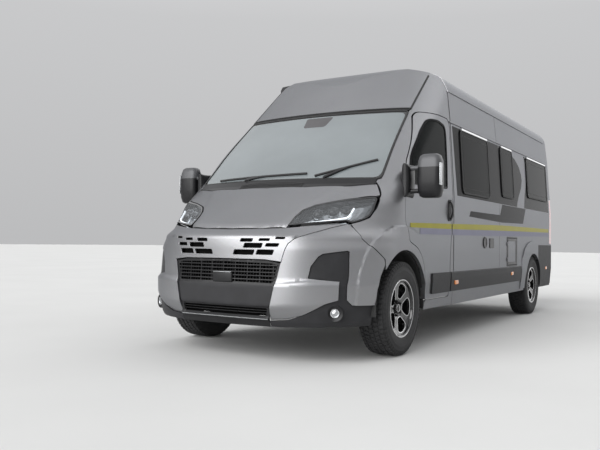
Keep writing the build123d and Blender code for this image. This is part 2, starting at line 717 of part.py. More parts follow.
# Rear doors and their windows
for side, name in SIDE_NAMES.items():
    x_range = (DOOR_GAP / 2, REAR_DOOR_X) if side > 0 else (-REAR_DOOR_X, -DOOR_GAP / 2)
    middle_x = side * REAR_DOOR_X / 2
    with BuildPart() as window_cut:
        with BuildSketch(Plane.XZ.offset(-at(PAST_END_D))):
            with Locations((middle_x, sum(REAR_WINDOW_Z) / 2)):
                RectangleRounded(REAR_DOOR_X - 260, REAR_WINDOW_Z[1] - REAR_WINDOW_Z[0], 60)
        extrude(amount=250)
    with BuildPart() as window_fill:
        with BuildSketch(Plane.XZ.offset(-at(PAST_END_D))):
            with Locations((middle_x, sum(REAR_WINDOW_Z) / 2)):
                RectangleRounded(REAR_DOOR_X - 260 - 2 * SEAT_GAP,
                                 REAR_WINDOW_Z[1] - REAR_WINDOW_Z[0] - 2 * SEAT_GAP, 60 - SEAT_GAP)
        extrude(amount=250)
    with BuildPart() as rear_door:
        add(shell.part)
        add(block(x_range, (REAR_WALL_D + 5, PAST_END_D), REAR_DOOR_Z), mode=Mode.INTERSECT)
        add(window_cut.part, mode=Mode.SUBTRACT)
        for hinge_z in REAR_HINGES_Z:
            add(rear_hinge(side, hinge_z, True))
    save(rear_door.part, f"rear_door_{name}")
    with BuildPart() as rear_glass:
        add(skin.part)
        add(window_fill.part, mode=Mode.INTERSECT)
    save(rear_glass.part, f"rear_glass_{name}")

with BuildPart() as tail_lamps:
    for side in (-1, 1):
        x_range = sorted((side * (TAIL_LAMP_X[0] + SEAT_GAP), side * TAIL_LAMP_X[1]))
        add(block(x_range, (REAR_WALL_D + SEAT_GAP, PAST_END_D),
                  (TAIL_LAMP_Z[0] + SEAT_GAP, TAIL_LAMP_Z[1] - SEAT_GAP)))
    add(shell.part, mode=Mode.INTERSECT)
save(tail_lamps.part, "tail_lamps")

with BuildPart() as rear_bumper:
    add(shell.part)
    add(rear_trim_slab(SEAT_GAP), mode=Mode.INTERSECT)
    add(rear_hole, mode=Mode.SUBTRACT)
    for arch in arches:
        add(arch, mode=Mode.SUBTRACT)
    add(block((-850, 850), (5940, LENGTH), (420, 580)))
save(rear_bumper.part, "rear_bumper")

# Floor with its chassis rails and wheel tubs
RAIL_X = 520
RAIL_WIDTH = 80
RAIL_Z = 440
TUB_WALL = 12
# Wheel tubs: the axle's y, the arch's radius, the tub's inboard and outboard x
TUBS = [
    (FRONT_AXLE_Y, FRONT_ARCH_RADIUS, 545, 948),
    (REAR_AXLE_Y, REAR_ARCH_RADIUS, 745, 965),
]
FIREWALL_D = 905
TOW_BAR_D = 5780
TOW_BAR_SPACING = 160
TOW_BAR_HOLE_RADIUS = 6.5
TOW_BAR_HOLE_DEPTH = 60
FLOOR_LOW_Z = FLOOR_Z - FLOOR_THICKNESS
with BuildPart() as floor_pan:
    add(block((-965, 965), (FIREWALL_D, 5925), (FLOOR_LOW_Z, FLOOR_Z)))
    wall_x = HALF_WIDTH - WALL - SEAT_GAP
    add(block((-wall_x, wall_x), (1995, 5925), (FLOOR_LOW_Z, FLOOR_Z)))
    for side in (-1, 1):
        middle = side * RAIL_X
        add(block((middle - RAIL_WIDTH / 2, middle + RAIL_WIDTH / 2), (FIREWALL_D, 5900),
                  (RAIL_Z, FLOOR_LOW_Z + 1)))
    for cross_d in (1500, 2900, 4250, 5700):
        add(block((-RAIL_X, RAIL_X), (cross_d - 35, cross_d + 35), (FLOOR_LOW_Z - 60, FLOOR_LOW_Z + 1)))
    add(block((-545, 545), (FIREWALL_D, FIREWALL_D + 20), (RAIL_Z, 1235)))
    for side in (-1, 1):
        for y, radius, inboard, outboard in TUBS:
            low_x, high_x = sorted((side * inboard, side * outboard))
            add(x_cylinder((low_x, high_x), y, WHEEL_Z, radius + TUB_WALL))
    for side in (-1, 1):
        for y, radius, inboard, outboard in TUBS:
            low_x, high_x = sorted((side * (inboard + TUB_WALL), side * (outboard + 60)))
            add(x_cylinder((low_x, high_x), y, WHEEL_Z, radius), mode=Mode.SUBTRACT)
            low_x, high_x = sorted((side * (inboard - 1), side * (outboard + 60)))
            with BuildSketch(Plane.XY.offset(WHEEL_Z - radius - TUB_WALL)):
                with Locations(((low_x + high_x) / 2, y)):
                    Rectangle(high_x - low_x, 2 * radius + 2 * TUB_WALL + 2)
            extrude(amount=FLOOR_LOW_Z - WHEEL_Z + radius + TUB_WALL, mode=Mode.SUBTRACT)
    with BuildSketch(Plane.XY.offset(RAIL_Z)):
        with Locations((0, at(TOW_BAR_D))):
            with GridLocations(2 * RAIL_X, TOW_BAR_SPACING, 2, 2):
                Circle(TOW_BAR_HOLE_RADIUS)
    extrude(amount=TOW_BAR_HOLE_DEPTH, mode=Mode.SUBTRACT)
save(floor_pan.part, "floor_pan")

# Engine, front subframe with its lower arms, rear axle with its leaf springs
SUBFRAME_Z = (250, 330)
BALL_Z = 243
KINGPIN_LEAN = 10
KINGPIN_X = 770
BALL_RADIUS = 14
BALL_GAP = 0.8


def kingpin_x(z):
    """The steering axis's half distance from the middle at a height."""
    return KINGPIN_X - tan(radians(KINGPIN_LEAN)) * (z - WHEEL_Z)


with BuildPart() as engine:
    add(block((-330, 330), (330, 870), (SUBFRAME_Z[1] + SEAT_GAP, 880)))
    fillet(engine.edges().filter_by(Axis.Z), 40)
save(engine.part, "engine")

with BuildPart() as front_subframe:
    add(block((-470, 470), (780, 1100), SUBFRAME_Z))
    for side in (-1, 1):
        low_x, high_x = sorted((side * 440, side * 600))
        add(block((low_x, high_x), (1010, 1100), (SUBFRAME_Z[0], RAIL_Z - SEAT_GAP)))
        ball = (side * kingpin_x(BALL_Z), FRONT_AXLE_Y, BALL_Z)
        with BuildSketch(Plane.XY.offset(205)):
            with BuildLine():
                Polyline((side * 440, at(830)), (ball[0], FRONT_AXLE_Y - 22), (ball[0], FRONT_AXLE_Y + 22),
                         (side * 440, at(1080)), close=True)
            make_face()
            with Locations((ball[0], ball[1])):
                Circle(24)
        extrude(amount=18)
        add(block(tuple(sorted((side * 400, side * 470))), (830, 1080), (205, SUBFRAME_Z[0] + 1)))
        with BuildSketch(Plane.XY.offset(220)):
            with Locations((ball[0], ball[1])):
                Circle(8)
        extrude(amount=BALL_Z - 220)
        with Locations(ball):
            Sphere(BALL_RADIUS)
save(front_subframe.part, "front_subframe")

SPRING_HALF = 640
SPRING_THICKNESS = 18
AXLE_TUBE_RADIUS = 36
HUB_FACE_X = 820 - SEAT_GAP
with BuildPart() as rear_axle:
    add(x_cylinder((-HUB_FACE_X, HUB_FACE_X), REAR_AXLE_Y, WHEEL_Z, AXLE_TUBE_RADIUS))
    for side in (-1, 1):
        low_x, high_x = sorted((side * 760, side * HUB_FACE_X))
        add(x_cylinder((low_x, high_x), REAR_AXLE_Y, WHEEL_Z, 58))
        with BuildSketch(Plane.YZ.offset(side * (RAIL_X + 30))):
            with BuildLine():
                low = WHEEL_Z + AXLE_TUBE_RADIUS - 4
                high = RAIL_Z - SEAT_GAP - SPRING_THICKNESS
                ThreePointArc((REAR_AXLE_Y - SPRING_HALF, high), (REAR_AXLE_Y, low),
                              (REAR_AXLE_Y + SPRING_HALF, high))
                Line((REAR_AXLE_Y + SPRING_HALF, high), (REAR_AXLE_Y + SPRING_HALF, high + SPRING_THICKNESS))
                ThreePointArc((REAR_AXLE_Y + SPRING_HALF, high + SPRING_THICKNESS),
                              (REAR_AXLE_Y, low + SPRING_THICKNESS),
                              (REAR_AXLE_Y - SPRING_HALF, high + SPRING_THICKNESS))
                Line((REAR_AXLE_Y - SPRING_HALF, high + SPRING_THICKNESS), (REAR_AXLE_Y - SPRING_HALF, high))
            make_face()
        extrude(amount=-side * 60)
save(rear_axle.part, "rear_axle")

# Steering knuckles with their struts
for side, name in SIDE_NAMES.items():
    axis_foot = (side * kingpin_x(BALL_Z), FRONT_AXLE_Y, BALL_Z)
    lean = Vector(-side * sin(radians(KINGPIN_LEAN)), 0, cos(radians(KINGPIN_LEAN)))
    post = Plane(origin=axis_foot, x_dir=(0, 1, 0), z_dir=lean)
    with BuildPart() as knuckle:
        low_x, high_x = sorted((side * 745, side * HUB_FACE_X))
        add(x_cylinder((low_x, high_x), FRONT_AXLE_Y, WHEEL_Z, 58))
        with BuildSketch(post.offset(4)):
            Circle(24)
        extrude(amount=160)
        with BuildSketch(post.offset(120)):
            Circle(20)
        extrude(amount=430)
        with BuildSketch(post.offset(500)):
            Circle(38)
        extrude(amount=60)
        with Locations(axis_foot):
            Sphere(BALL_RADIUS + BALL_GAP, mode=Mode.SUBTRACT)
    save(knuckle.part, f"knuckle_{name}")

# Wheels: a tyre and an alloy rim with its brake disc
RIM_DEPTH = 78
SPOKES = 5
RIM_WINDOW = [(78, -26), (78, 26), (150, 72), (180, 52), (190, 0), (180, -52), (150, -72)]
DISC_RADIUS = 140
BEAD_X = 92
FLANGE_X = 102
FLANGE_RADIUS = 222
TREAD_X = 80
SHOULDER_STEP = 12
for y, end in ((FRONT_AXLE_Y, "front"), (REAR_AXLE_Y, "rear")):
    for side, name in SIDE_NAMES.items():
        hub = (side * HALF_TRACK, y, WHEEL_Z)
        spin = Axis(hub, (1, 0, 0))
        radial = Plane(origin=hub, x_dir=(side, 0, 0), z_dir=(0, -side, 0))
        with BuildPart() as tyre:
            with BuildSketch(radial):
                with BuildLine():
                    half = TYRE_WIDTH / 2
                    for flank in (-1, 1):
                        bead = (flank * BEAD_X, RIM_RADIUS + 10)
                        shoulder = (flank * (half - 13.5), TYRE_RADIUS - SHOULDER_STEP)
                        Line((flank * BEAD_X, RIM_RADIUS + SEAT_GAP), bead)
                        ThreePointArc(bead, (flank * half, 285), shoulder)
                        Line(shoulder, (flank * TREAD_X, TYRE_RADIUS))
                    Line((-TREAD_X, TYRE_RADIUS), (TREAD_X, TYRE_RADIUS))
                    Line((-BEAD_X, RIM_RADIUS + SEAT_GAP), (BEAD_X, RIM_RADIUS + SEAT_GAP))
                make_face()
            revolve(axis=spin)
        save(tyre.part, f"tyre_{end}_{name}")
        with BuildPart() as rim:
            with BuildSketch(radial):
                with BuildLine():
                    seat_x = BEAD_X + 0.4
                    Polyline((-FLANGE_X, 200), (-FLANGE_X, FLANGE_RADIUS), (-seat_x, FLANGE_RADIUS),
                             (-seat_x, RIM_RADIUS), (seat_x, RIM_RADIUS), (seat_x, FLANGE_RADIUS),
                             (FLANGE_X, FLANGE_RADIUS), (FLANGE_X, 208), (RIM_DEPTH, 200), (60, 60), (60, 0),
                             (-85, 0), (-85, DISC_RADIUS), (-61, DISC_RADIUS), (-61, 70), (36, 70), (52, 200),
                             close=True)
                make_face()
            revolve(axis=spin)
            face = Plane(origin=hub, x_dir=(0, side, 0), z_dir=(side, 0, 0))
            with BuildSketch(face.offset(20)):
                with PolarLocations(0, SPOKES):
                    with BuildLine():
                        Polyline(RIM_WINDOW, close=True)
                    make_face()
            extrude(amount=100, mode=Mode.SUBTRACT)
        save(rim.part, f"rim_{end}_{name}")

# Cab: dashboard, steering wheel and seats
DRIVER_X = 420
STEER_LEAN = 55
wheel_axis = Vector(0, cos(radians(STEER_LEAN)), sin(radians(STEER_LEAN)))
STEER_CENTRE = Vector(DRIVER_X, at(1370), 1165)
STEER_RADIUS = 190
with BuildPart() as dashboard:
    with BuildSketch(Plane.YZ.offset(-840)):
        with BuildLine():
            Polyline((at(1000), 870), (at(1150), 900), (at(1190), 1120), (at(1140), 1275), (at(960), 1295),
                     (at(960), 1240), (at(1000), 1200), close=True)
        make_face()
    extrude(amount=1680)
    add(block((-560, 560), (FIREWALL_D + 20 + SEAT_GAP, 1010), (1180, 1293)))
    add(block((-540, 540), (760, 1010), (1245, 1293)))
    with BuildSketch(Plane(origin=STEER_CENTRE - wheel_axis * (30 + SEAT_GAP), x_dir=(1, 0, 0),
                           z_dir=wheel_axis)):
        Circle(42)
    extrude(amount=-300)
save(dashboard.part, "dashboard")

with BuildPart() as steering_wheel:
    ring = Plane(origin=STEER_CENTRE, x_dir=(1, 0, 0), z_dir=wheel_axis)
    with BuildSketch(ring.offset(-12)):
        Circle(STEER_RADIUS)
        Circle(STEER_RADIUS - 26, mode=Mode.SUBTRACT)
    extrude(amount=24)
    with BuildSketch(ring.offset(-10)):
        Rectangle(2 * STEER_RADIUS - 30, 34)
        with Locations((0, -STEER_RADIUS / 2)):
            Rectangle(40, STEER_RADIUS - 20)
    extrude(amount=16)
    with BuildSketch(ring.offset(-30)):
        Circle(55)
    extrude(amount=40)
save(steering_wheel.part, "steering_wheel")

SEAT_WIDTH = 470
with BuildPart() as seats:
    for side in (-1, 1):
        start = side * DRIVER_X - SEAT_WIDTH / 2
        with BuildSketch(Plane.YZ.offset(start)):
            with BuildLine():
                Polyline((at(1520), FLOOR_Z + SEAT_GAP), (at(1880), FLOOR_Z + SEAT_GAP), (at(1900), 860),
                         (at(1990), 960), (at(2040), 1500), (at(2050), 1620), (at(1950), 1620),
                         (at(1900), 1500), (at(1860), 1000), (at(1510), 1020), (at(1470), 980), (at(1480), 880),
                         (at(1520), 860), close=True)
            make_face()
        extrude(amount=SEAT_WIDTH)
        add(block((side * DRIVER_X - 130, side * DRIVER_X + 130), (1965, 2050), (1600, 1820)))
save(seats.part, "cab_seats")

# Living space: kitchen unit, bench with table, partitions, bed base and mattress
INNER_X = HALF_WIDTH - WALL - 20
BED_Z = 980
with BuildPart() as living_units:
    add(block((-INNER_X, -470), (3480, 4480), (FLOOR_Z + SEAT_GAP, 1500)))
    add(block((250, INNER_X), (2650, 3180), (FLOOR_Z + SEAT_GAP, 1060)))
    for partition_d in (3540, 4400):
        add(front_slab([(300, FLOOR_Z + SEAT_GAP), (INNER_X, FLOOR_Z + SEAT_GAP), (INNER_X, BELT_Z),
                        (half_width(2150) - WALL - 20, 2150), (300, 2150)], (partition_d, partition_d + 25)))
    add(block((-730, 730), (4500, 5850), (FLOOR_Z + SEAT_GAP, BED_Z)))
    add(block((-700, 700), (4530, 5900), (FLOOR_Z, BED_Z - 30)), mode=Mode.SUBTRACT)
save(living_units.part, "living_units")

with BuildPart() as mattress:
    add(block((-INNER_X, INNER_X), (4500, 5850), (BED_Z + SEAT_GAP, BED_Z + 140)))
save(mattress.part, "mattress")

# Underfloor tanks and exhaust
with BuildPart() as tanks:
    for tank_d in ((1600, 2750), (3100, 4100)):
        add(block((-460, 60), tank_d, (320, FLOOR_LOW_Z - SEAT_GAP)))
    fillet(tanks.edges().filter_by(Axis.X), 40)
save(tanks.part, "tanks")

EXHAUST_X = 260
EXHAUST_Z = 400
with BuildPart() as exhaust:
    with BuildSketch(Plane.XZ.offset(-at(4600))):
        with Locations((EXHAUST_X, EXHAUST_Z)):
            Circle(28)
    extrude(amount=4600 - 1130)
    with BuildSketch(Plane.XZ.offset(-at(3500))):
        with Locations((EXHAUST_X, EXHAUST_Z)):
            Circle(85)
    extrude(amount=600)
    for hanger_d in (2900, 4250):
        add(block((EXHAUST_X - 8, EXHAUST_X + 8), (hanger_d - 20, hanger_d + 20),
                  (EXHAUST_Z, FLOOR_LOW_Z - 60 - SEAT_GAP)))
save(exhaust.part, "exhaust")

# Roof fittings: awning cassette and two rooflights
with BuildPart() as awning:
    with BuildSketch(Plane.XZ.offset(-at(5560))):
        with BuildLine():
            Polyline((-742, 2440), (-800, 2434), (-862, 2411), (-893, 2400), (-897, 2450), (-872, 2486),
                     (-762, 2493), (-742, 2480), close=True)
        make_face()
    extrude(amount=5560 - 2090)
    for foot_d in (2250, 3800, 5400):
        add(block((-792, -770), (foot_d - 60, foot_d + 60), (2430.1, 2460)))
save(awning.part, "awning_cassette")

with BuildPart() as rooflights:
    for light_d, size in ((2750, 700), (4250, 400)):
        add(block((-size / 2, size / 2), (light_d - 250, light_d + 250), (HEIGHT + SEAT_GAP, HEIGHT + 45)))
save(rooflights.part, "rooflights")

# Wipers: strips that follow the screen a small gap in front of it
WIPER_WIDTH = 22
WIPER_ENDS = [((-630, 1362), (270, 1388)), ((350, 1364), (780, 1498))]
with BuildPart() as wipers:
    with BuildSketch(Plane.XZ.offset(-at(1200))):
        for (x0, z0), (x1, z1) in WIPER_ENDS:
            with BuildLine():
                Polyline((x0, z0), (x1, z1), (x1 - 6, z1 + WIPER_WIDTH), (x0 - 6, z0 + WIPER_WIDTH),
                         close=True)
            make_face()
    extrude(amount=800)
    add(proud, mode=Mode.INTERSECT)
    add(body_form(-SEAT_GAP, 150), mode=Mode.SUBTRACT)
save(wipers.part, "wipers")
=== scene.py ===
import bpy
import json
import math
import numpy as np
from mathutils import Matrix, Vector
from mathutils.geometry import delaunay_2d_cdt


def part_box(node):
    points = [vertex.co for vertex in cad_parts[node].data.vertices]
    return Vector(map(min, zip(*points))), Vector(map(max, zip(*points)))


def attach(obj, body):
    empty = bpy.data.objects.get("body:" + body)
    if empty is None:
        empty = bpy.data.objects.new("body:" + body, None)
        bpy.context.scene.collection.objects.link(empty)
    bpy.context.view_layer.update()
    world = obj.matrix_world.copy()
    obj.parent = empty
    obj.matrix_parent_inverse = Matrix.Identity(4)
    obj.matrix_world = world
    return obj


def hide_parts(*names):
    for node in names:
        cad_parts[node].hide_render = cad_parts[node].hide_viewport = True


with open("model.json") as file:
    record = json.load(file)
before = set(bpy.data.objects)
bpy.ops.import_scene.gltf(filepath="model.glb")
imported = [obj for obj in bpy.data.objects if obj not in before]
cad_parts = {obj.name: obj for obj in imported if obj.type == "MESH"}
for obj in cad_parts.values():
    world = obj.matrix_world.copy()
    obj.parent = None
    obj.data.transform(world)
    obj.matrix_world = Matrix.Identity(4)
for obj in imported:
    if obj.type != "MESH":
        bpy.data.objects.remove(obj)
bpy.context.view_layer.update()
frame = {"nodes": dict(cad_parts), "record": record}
nodes = frame["nodes"]

# Metres. x is to the vehicle's left, d is the distance behind the front bumper, z is the height.
LENGTH = 5.998
AXLES = {"front": 0.948, "rear": 4.983}
HUB_X = 0.905
HUB_Z = 0.36
ARCH_RADIUS = 0.447
NAMES = {1: "left", -1: "right"}


def y_of(d):
    return d - LENGTH / 2


# ---- the body's surface ----
# Each row: height, the nose's foremost d, the bow's radius and the corner's radius.
NOSE_ROWS = np.array([
    (0.20, 0.030, 3.80, 0.70), (0.42, 0.000, 3.80, 0.68), (0.556, 0.000, 3.80, 0.69),
    (0.60, 0.008, 3.60, 0.70), (0.80, 0.008, 3.00, 0.74), (0.89, 0.014, 2.40, 0.80),
    (0.952, 0.100, 2.20, 0.79), (1.06, 0.250, 2.20, 0.65), (1.18, 0.420, 2.20, 0.42),
    (1.31, 0.610, 2.24, 0.30), (1.65, 0.987, 2.60, 0.28), (2.00, 1.375, 2.93, 0.37),
    (2.60, 1.975, 1.96, 0.51)])
# Height and half width of the sides, then the roof shoulder's centre (x, z) and radius.
SIDE_LEVELS = np.array([(0.2, 0.996), (0.315, 1.0), (0.55, 1.02), (1.296, 1.02), (2.0, 0.975), (2.25, 0.948),
                        (2.7, 0.9)])
SHOULDER = (0.7482, 2.2284, 0.201)


def pchip(xs, ys, x):
    """A smooth curve through the rows that doesn't overshoot them."""
    h = np.diff(xs)
    slope = np.diff(ys) / h
    m = np.zeros(len(xs))
    m[0], m[-1] = slope[0], slope[-1]
    for i in range(1, len(xs) - 1):
        if slope[i - 1] * slope[i] > 0:
            w1, w2 = 2 * h[i] + h[i - 1], h[i] + 2 * h[i - 1]
            m[i] = (w1 + w2) / (w1 / slope[i - 1] + w2 / slope[i])
    k = np.clip(np.searchsorted(xs, x) - 1, 0, len(h) - 1)
    t = (x - xs[k]) / h[k]
    return ((2 * t ** 3 - 3 * t ** 2 + 1) * ys[k] + (t ** 3 - 2 * t ** 2 + t) * h[k] * m[k]
            + (-2 * t ** 3 + 3 * t ** 2) * ys[k + 1] + (t ** 3 - t ** 2) * h[k] * m[k + 1])


def half_width(z):
    """The sides' half width at a height, drawn in over the roof shoulder."""
    flat = np.interp(z, SIDE_LEVELS[:, 0], SIDE_LEVELS[:, 1])
    cx, cz, r = SHOULDER
    arc = cx + np.sqrt(np.maximum(r ** 2 - (z - cz) ** 2, 0))
    return np.where(z > 2.25, np.minimum(flat, arc), flat)


def plan(z):
    """The nose's plan at a height: foremost d, both radii, half width, and where bow and corner end."""
    m, rb, rho = (pchip(NOSE_ROWS[:, 0], NOSE_ROWS[:, i], z) for i in (1, 2, 3))
    sx = np.interp(z, SIDE_LEVELS[:, 0], SIDE_LEVELS[:, 1])
    sd = m + rb - np.sqrt((rb - rho) ** 2 - (sx - rho) ** 2)
    cx = (sx - rho) * rb / (rb - rho)
    cd = m + rb - (m + rb - sd) * rb / (rb - rho)
    return m, rb, rho, sx, sd, cx, cd


def front_d(x, z):
    m, rb, rho, sx, sd, cx, cd = plan(z)
    ax = np.abs(x)
    bow = m + rb - np.sqrt(np.maximum(rb ** 2 - np.minimum(ax, cx) ** 2, 0))
    corner = sd - np.sqrt(np.maximum(rho ** 2 - (ax - sx + rho) ** 2, 0))
    return np.where(ax <= cx, bow, corner)


def nose_d(x, z):
    """How far back the nose's surface lies at one place."""
    return float(front_d(np.array([x]), np.array([z]))[0])


def side_x(d, z):
    m, rb, rho, sx, sd, cx, cd = plan(z)
    bow = np.sqrt(np.maximum(rb ** 2 - (m + rb - d) ** 2, 0))
    corner = sx - rho + np.sqrt(np.maximum(rho ** 2 - np.maximum(sd - d, 0) ** 2, 0))
    return np.minimum(np.where(d >= cd, corner, np.minimum(bow, cx)), half_width(z))


def flank_x(d, z):
    """How far out the side's surface lies at one place."""
    return float(side_x(np.array([d]), np.array([z]))[0])


def bisect(test, low, high, rounds=34):
    """The place between low and high where test turns from true to false."""
    low, high = np.array(low, float), np.array(high, float)
    for _ in range(rounds):
        mid = (low + high) / 2
        ok = test(mid)
        low, high = np.where(ok, mid, low), np.where(ok, high, mid)
    return (low + high) / 2


def by_front(u, v):
    return np.stack((u, front_d(u, v), v), 1)


def by_side(u, v):
    return np.stack((side_x(u, v), u, v), 1)


def by_plan(u, v):
    z = bisect(lambda t: front_d(u, t) < v, np.full(len(u), 0.9), np.full(len(u), 2.4))
    return np.stack((u, v, z), 1)


def by_wrap(u, v):
    """u runs round the nose: x plus the distance behind the nose's foremost point."""
    m, sx, sd = (plan(v)[i] for i in (0, 3, 4))
    au = np.abs(u)
    x = bisect(lambda t: t + front_d(t, v) - m < au, np.zeros(len(u)), sx)
    beyond = au > sx + sd - m
    x = np.where(beyond, sx, x)
    d = np.where(beyond, au - sx + m, front_d(x, v))
    return np.stack((x * np.sign(u + 1e-12), d, v), 1)


def resample(loop, step, closed=True):
    """The loop or line with points no further apart than the step."""
    loop = np.array(loop, float)
    ends = np.roll(loop, -1, 0) if closed else loop[1:]
    out = []
    for a, b in zip(loop, ends):
        n = max(1, math.ceil(np.linalg.norm(b - a) / step))
        out += [a + (b - a) * k / n for k in range(n)]
    if not closed:
        out.append(loop[-1])
    return np.array(out)


def wrap_loop(points, step=0.012):
    """A loop of ("f", x, z) drawn from the front or ("s", d, z) from the side, as by_wrap takes it."""
    out = []
    for a, b in zip(points, points[1:] + points[:1]):
        kind, start = b[0], a[1:]
        if a[0] != kind:
            start = (flank_x(*start) if kind == "f" else nose_d(*start), a[2])
        run = resample([start, b[1:]], step, closed=False)[:-1]
        if kind == "f":
            s = run[:, 0] + front_d(run[:, 0], run[:, 1]) - plan(run[:, 1])[0]
        else:
            s = side_x(run[:, 0], run[:, 1]) + run[:, 0] - plan(run[:, 1])[0]
        out += list(zip(s, run[:, 1]))
    return out


def mixed(*runs):
    """A loop for wrap_loop from runs of points, each drawn from the front ("f") or the side ("s")."""
    return [(kind, u, z) for kind, points in runs for u, z in points]


def oblong(u0, v0, u1, v1):
    """A rectangle's corners."""
    return [(u0, v0), (u1, v0), (u1, v1), (u0, v1)]


def rounded(loop, radius, n=4):
    """The loop with its corners rounded."""
    loop = [np.array(p, float) for p in loop]
    out = []
    for i, p in enumerate(loop):
        a, b = loop[i - 1] - p, loop[(i + 1) % len(loop)] - p
        la, lb = np.linalg.norm(a), np.linalg.norm(b)
        cut = min(radius, la * 0.45, lb * 0.45)
        start, end = p + a / la * cut, p + b / lb * cut
        out += [start * (1 - t) ** 2 + 2 * p * t * (1 - t) + end * t ** 2 for t in np.linspace(0, 1, n + 1)]
    return out


def shrunk(loop, amount):
    """The loop moved inwards by an amount."""
    loop = np.array(loop, float)
    area = np.sum(loop[:, 0] * np.roll(loop[:, 1], -1) - np.roll(loop[:, 0], -1) * loop[:, 1])
    before, after = np.roll(loop, 1, 0), np.roll(loop, -1, 0)
    e1, e2 = loop - before, after - loop
    n1 = np.stack((-e1[:, 1], e1[:, 0]), 1) / np.linalg.norm(e1, axis=1)[:, None]
    n2 = np.stack((-e2[:, 1], e2[:, 0]), 1) / np.linalg.norm(e2, axis=1)[:, None]
    mid = n1 + n2
    mid /= np.maximum(np.sum(mid * mid, 1), 0.3)[:, None] / 2
    return loop + mid * amount * math.copysign(1, area)


def mirrored(half):
    """A closed loop from its left half, whose first and last points lie in the middle."""
    return list(half) + [(-p[0], p[1]) for p in reversed(half[1:-1])]


def inside(points, loop):
    """Which of the points lie within the loop."""
    x, y = points[:, 0], points[:, 1]
    result = np.zeros(len(points), bool)
    for (x0, y0), (x1, y1) in zip(loop, np.roll(loop, -1, 0)):
        if y0 != y1:
            result ^= ((y0 > y) != (y1 > y)) & (x < (x1 - x0) * (y - y0) / (y1 - y0) + x0)
    return result


def distance_to(points, path):
    """Each point's distance to an open line of points."""
    best = np.full(len(points), 1e9)
    for a, b in zip(path[:-1], path[1:]):
        a, b = np.array(a, float), np.array(b, float)
        t = np.clip((points - a) @ (b - a) / max((b - a) @ (b - a), 1e-12), 0, 1)
        best = np.minimum(best, np.linalg.norm(points - a - t[:, None] * (b - a), axis=1))
    return best


def smooth(t):
    t = np.clip(t, 0, 1)
    return t * t * (3 - 2 * t)


# ---- building pieces ----
def add_piece(name, verts, faces, mats, index=None, body="chassis", replaces=(), slot=None, sharp=32,
              bevel=0):
    """One object of the scene, which rides on a body and may take the place of CAD nodes."""
    mesh = bpy.data.meshes.new(name)
    mesh.from_pydata([tuple(map(float, v)) for v in verts], [], [tuple(map(int, f)) for f in faces])
    for m in mats if isinstance(mats, (list, tuple)) else [mats]:
        mesh.materials.append(m)
    if index is not None:
        mesh.polygons.foreach_set("material_index", np.array(index, np.int32))
    mesh.shade_smooth()
    mesh.set_sharp_from_angle(angle=math.radians(sharp))
    mesh.validate()
    o = bpy.data.objects.new(name, mesh)
    bpy.context.scene.collection.objects.link(o)
    if bevel:
        mod = o.modifiers.new("bevel", "BEVEL")
        mod.width, mod.segments, mod.limit_method, mod.angle_limit = bevel, 2, "ANGLE", math.radians(40)
    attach(o, body)
    if replaces:
        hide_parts(*replaces)
    return o


def joined(parts):
    """Several (verts, faces) as one."""
    verts, faces = [], []
    for v, f in parts:
        base = len(verts)
        verts += list(v)
        faces += [tuple(i + base for i in face) for face in f]
    return verts, faces


def cells(outer, holes, regions, step):
    """Triangles that fill an outline, with each triangle's region."""
    outer = resample(outer, step)
    rings = [outer] + [resample(loop, min(step, 0.02)) for loop in (*holes, *regions)]
    points = np.concatenate(rings)
    edges, base = [], 0
    for ring in rings:
        edges += [(base + i, base + (i + 1) % len(ring)) for i in range(len(ring))]
        base += len(ring)
    low, high = outer.min(0), outer.max(0)
    us, vs = np.arange(low[0], high[0], step), np.arange(low[1], high[1], step * 0.87)
    grid = np.array([(u + (j % 2) * step / 2, v) for j, v in enumerate(vs) for u in us])
    grid = grid[inside(grid, outer)]
    for h in rings[1:1 + len(holes)]:
        grid = grid[~inside(grid, h)]
    if len(grid):
        near = np.array([np.min(np.sum((points - g) ** 2, 1)) for g in grid])
        grid = grid[near > (0.45 * step) ** 2]
        points = np.concatenate((points, grid))
    got = delaunay_2d_cdt([Vector(p) for p in points], edges, [], 0, 1e-6)
    uv = np.array([tuple(p) for p in got[0]])
    tris = np.array([f for f in got[2] if len(f) == 3])
    middle = uv[tris].mean(1)
    keep = inside(middle, outer)
    for h in rings[1:1 + len(holes)]:
        keep &= ~inside(middle, h)
    tris, middle = tris[keep], middle[keep]
    kind = np.zeros(len(tris), int)
    for k, r in enumerate(rings[1 + len(holes):]):
        kind[inside(middle, r)] = k + 1
    return uv, tris, kind


# A point inside the body, as (x, d, z); outward directions point away from it.
CENTRE = np.array((0, 2.9, 1.1))


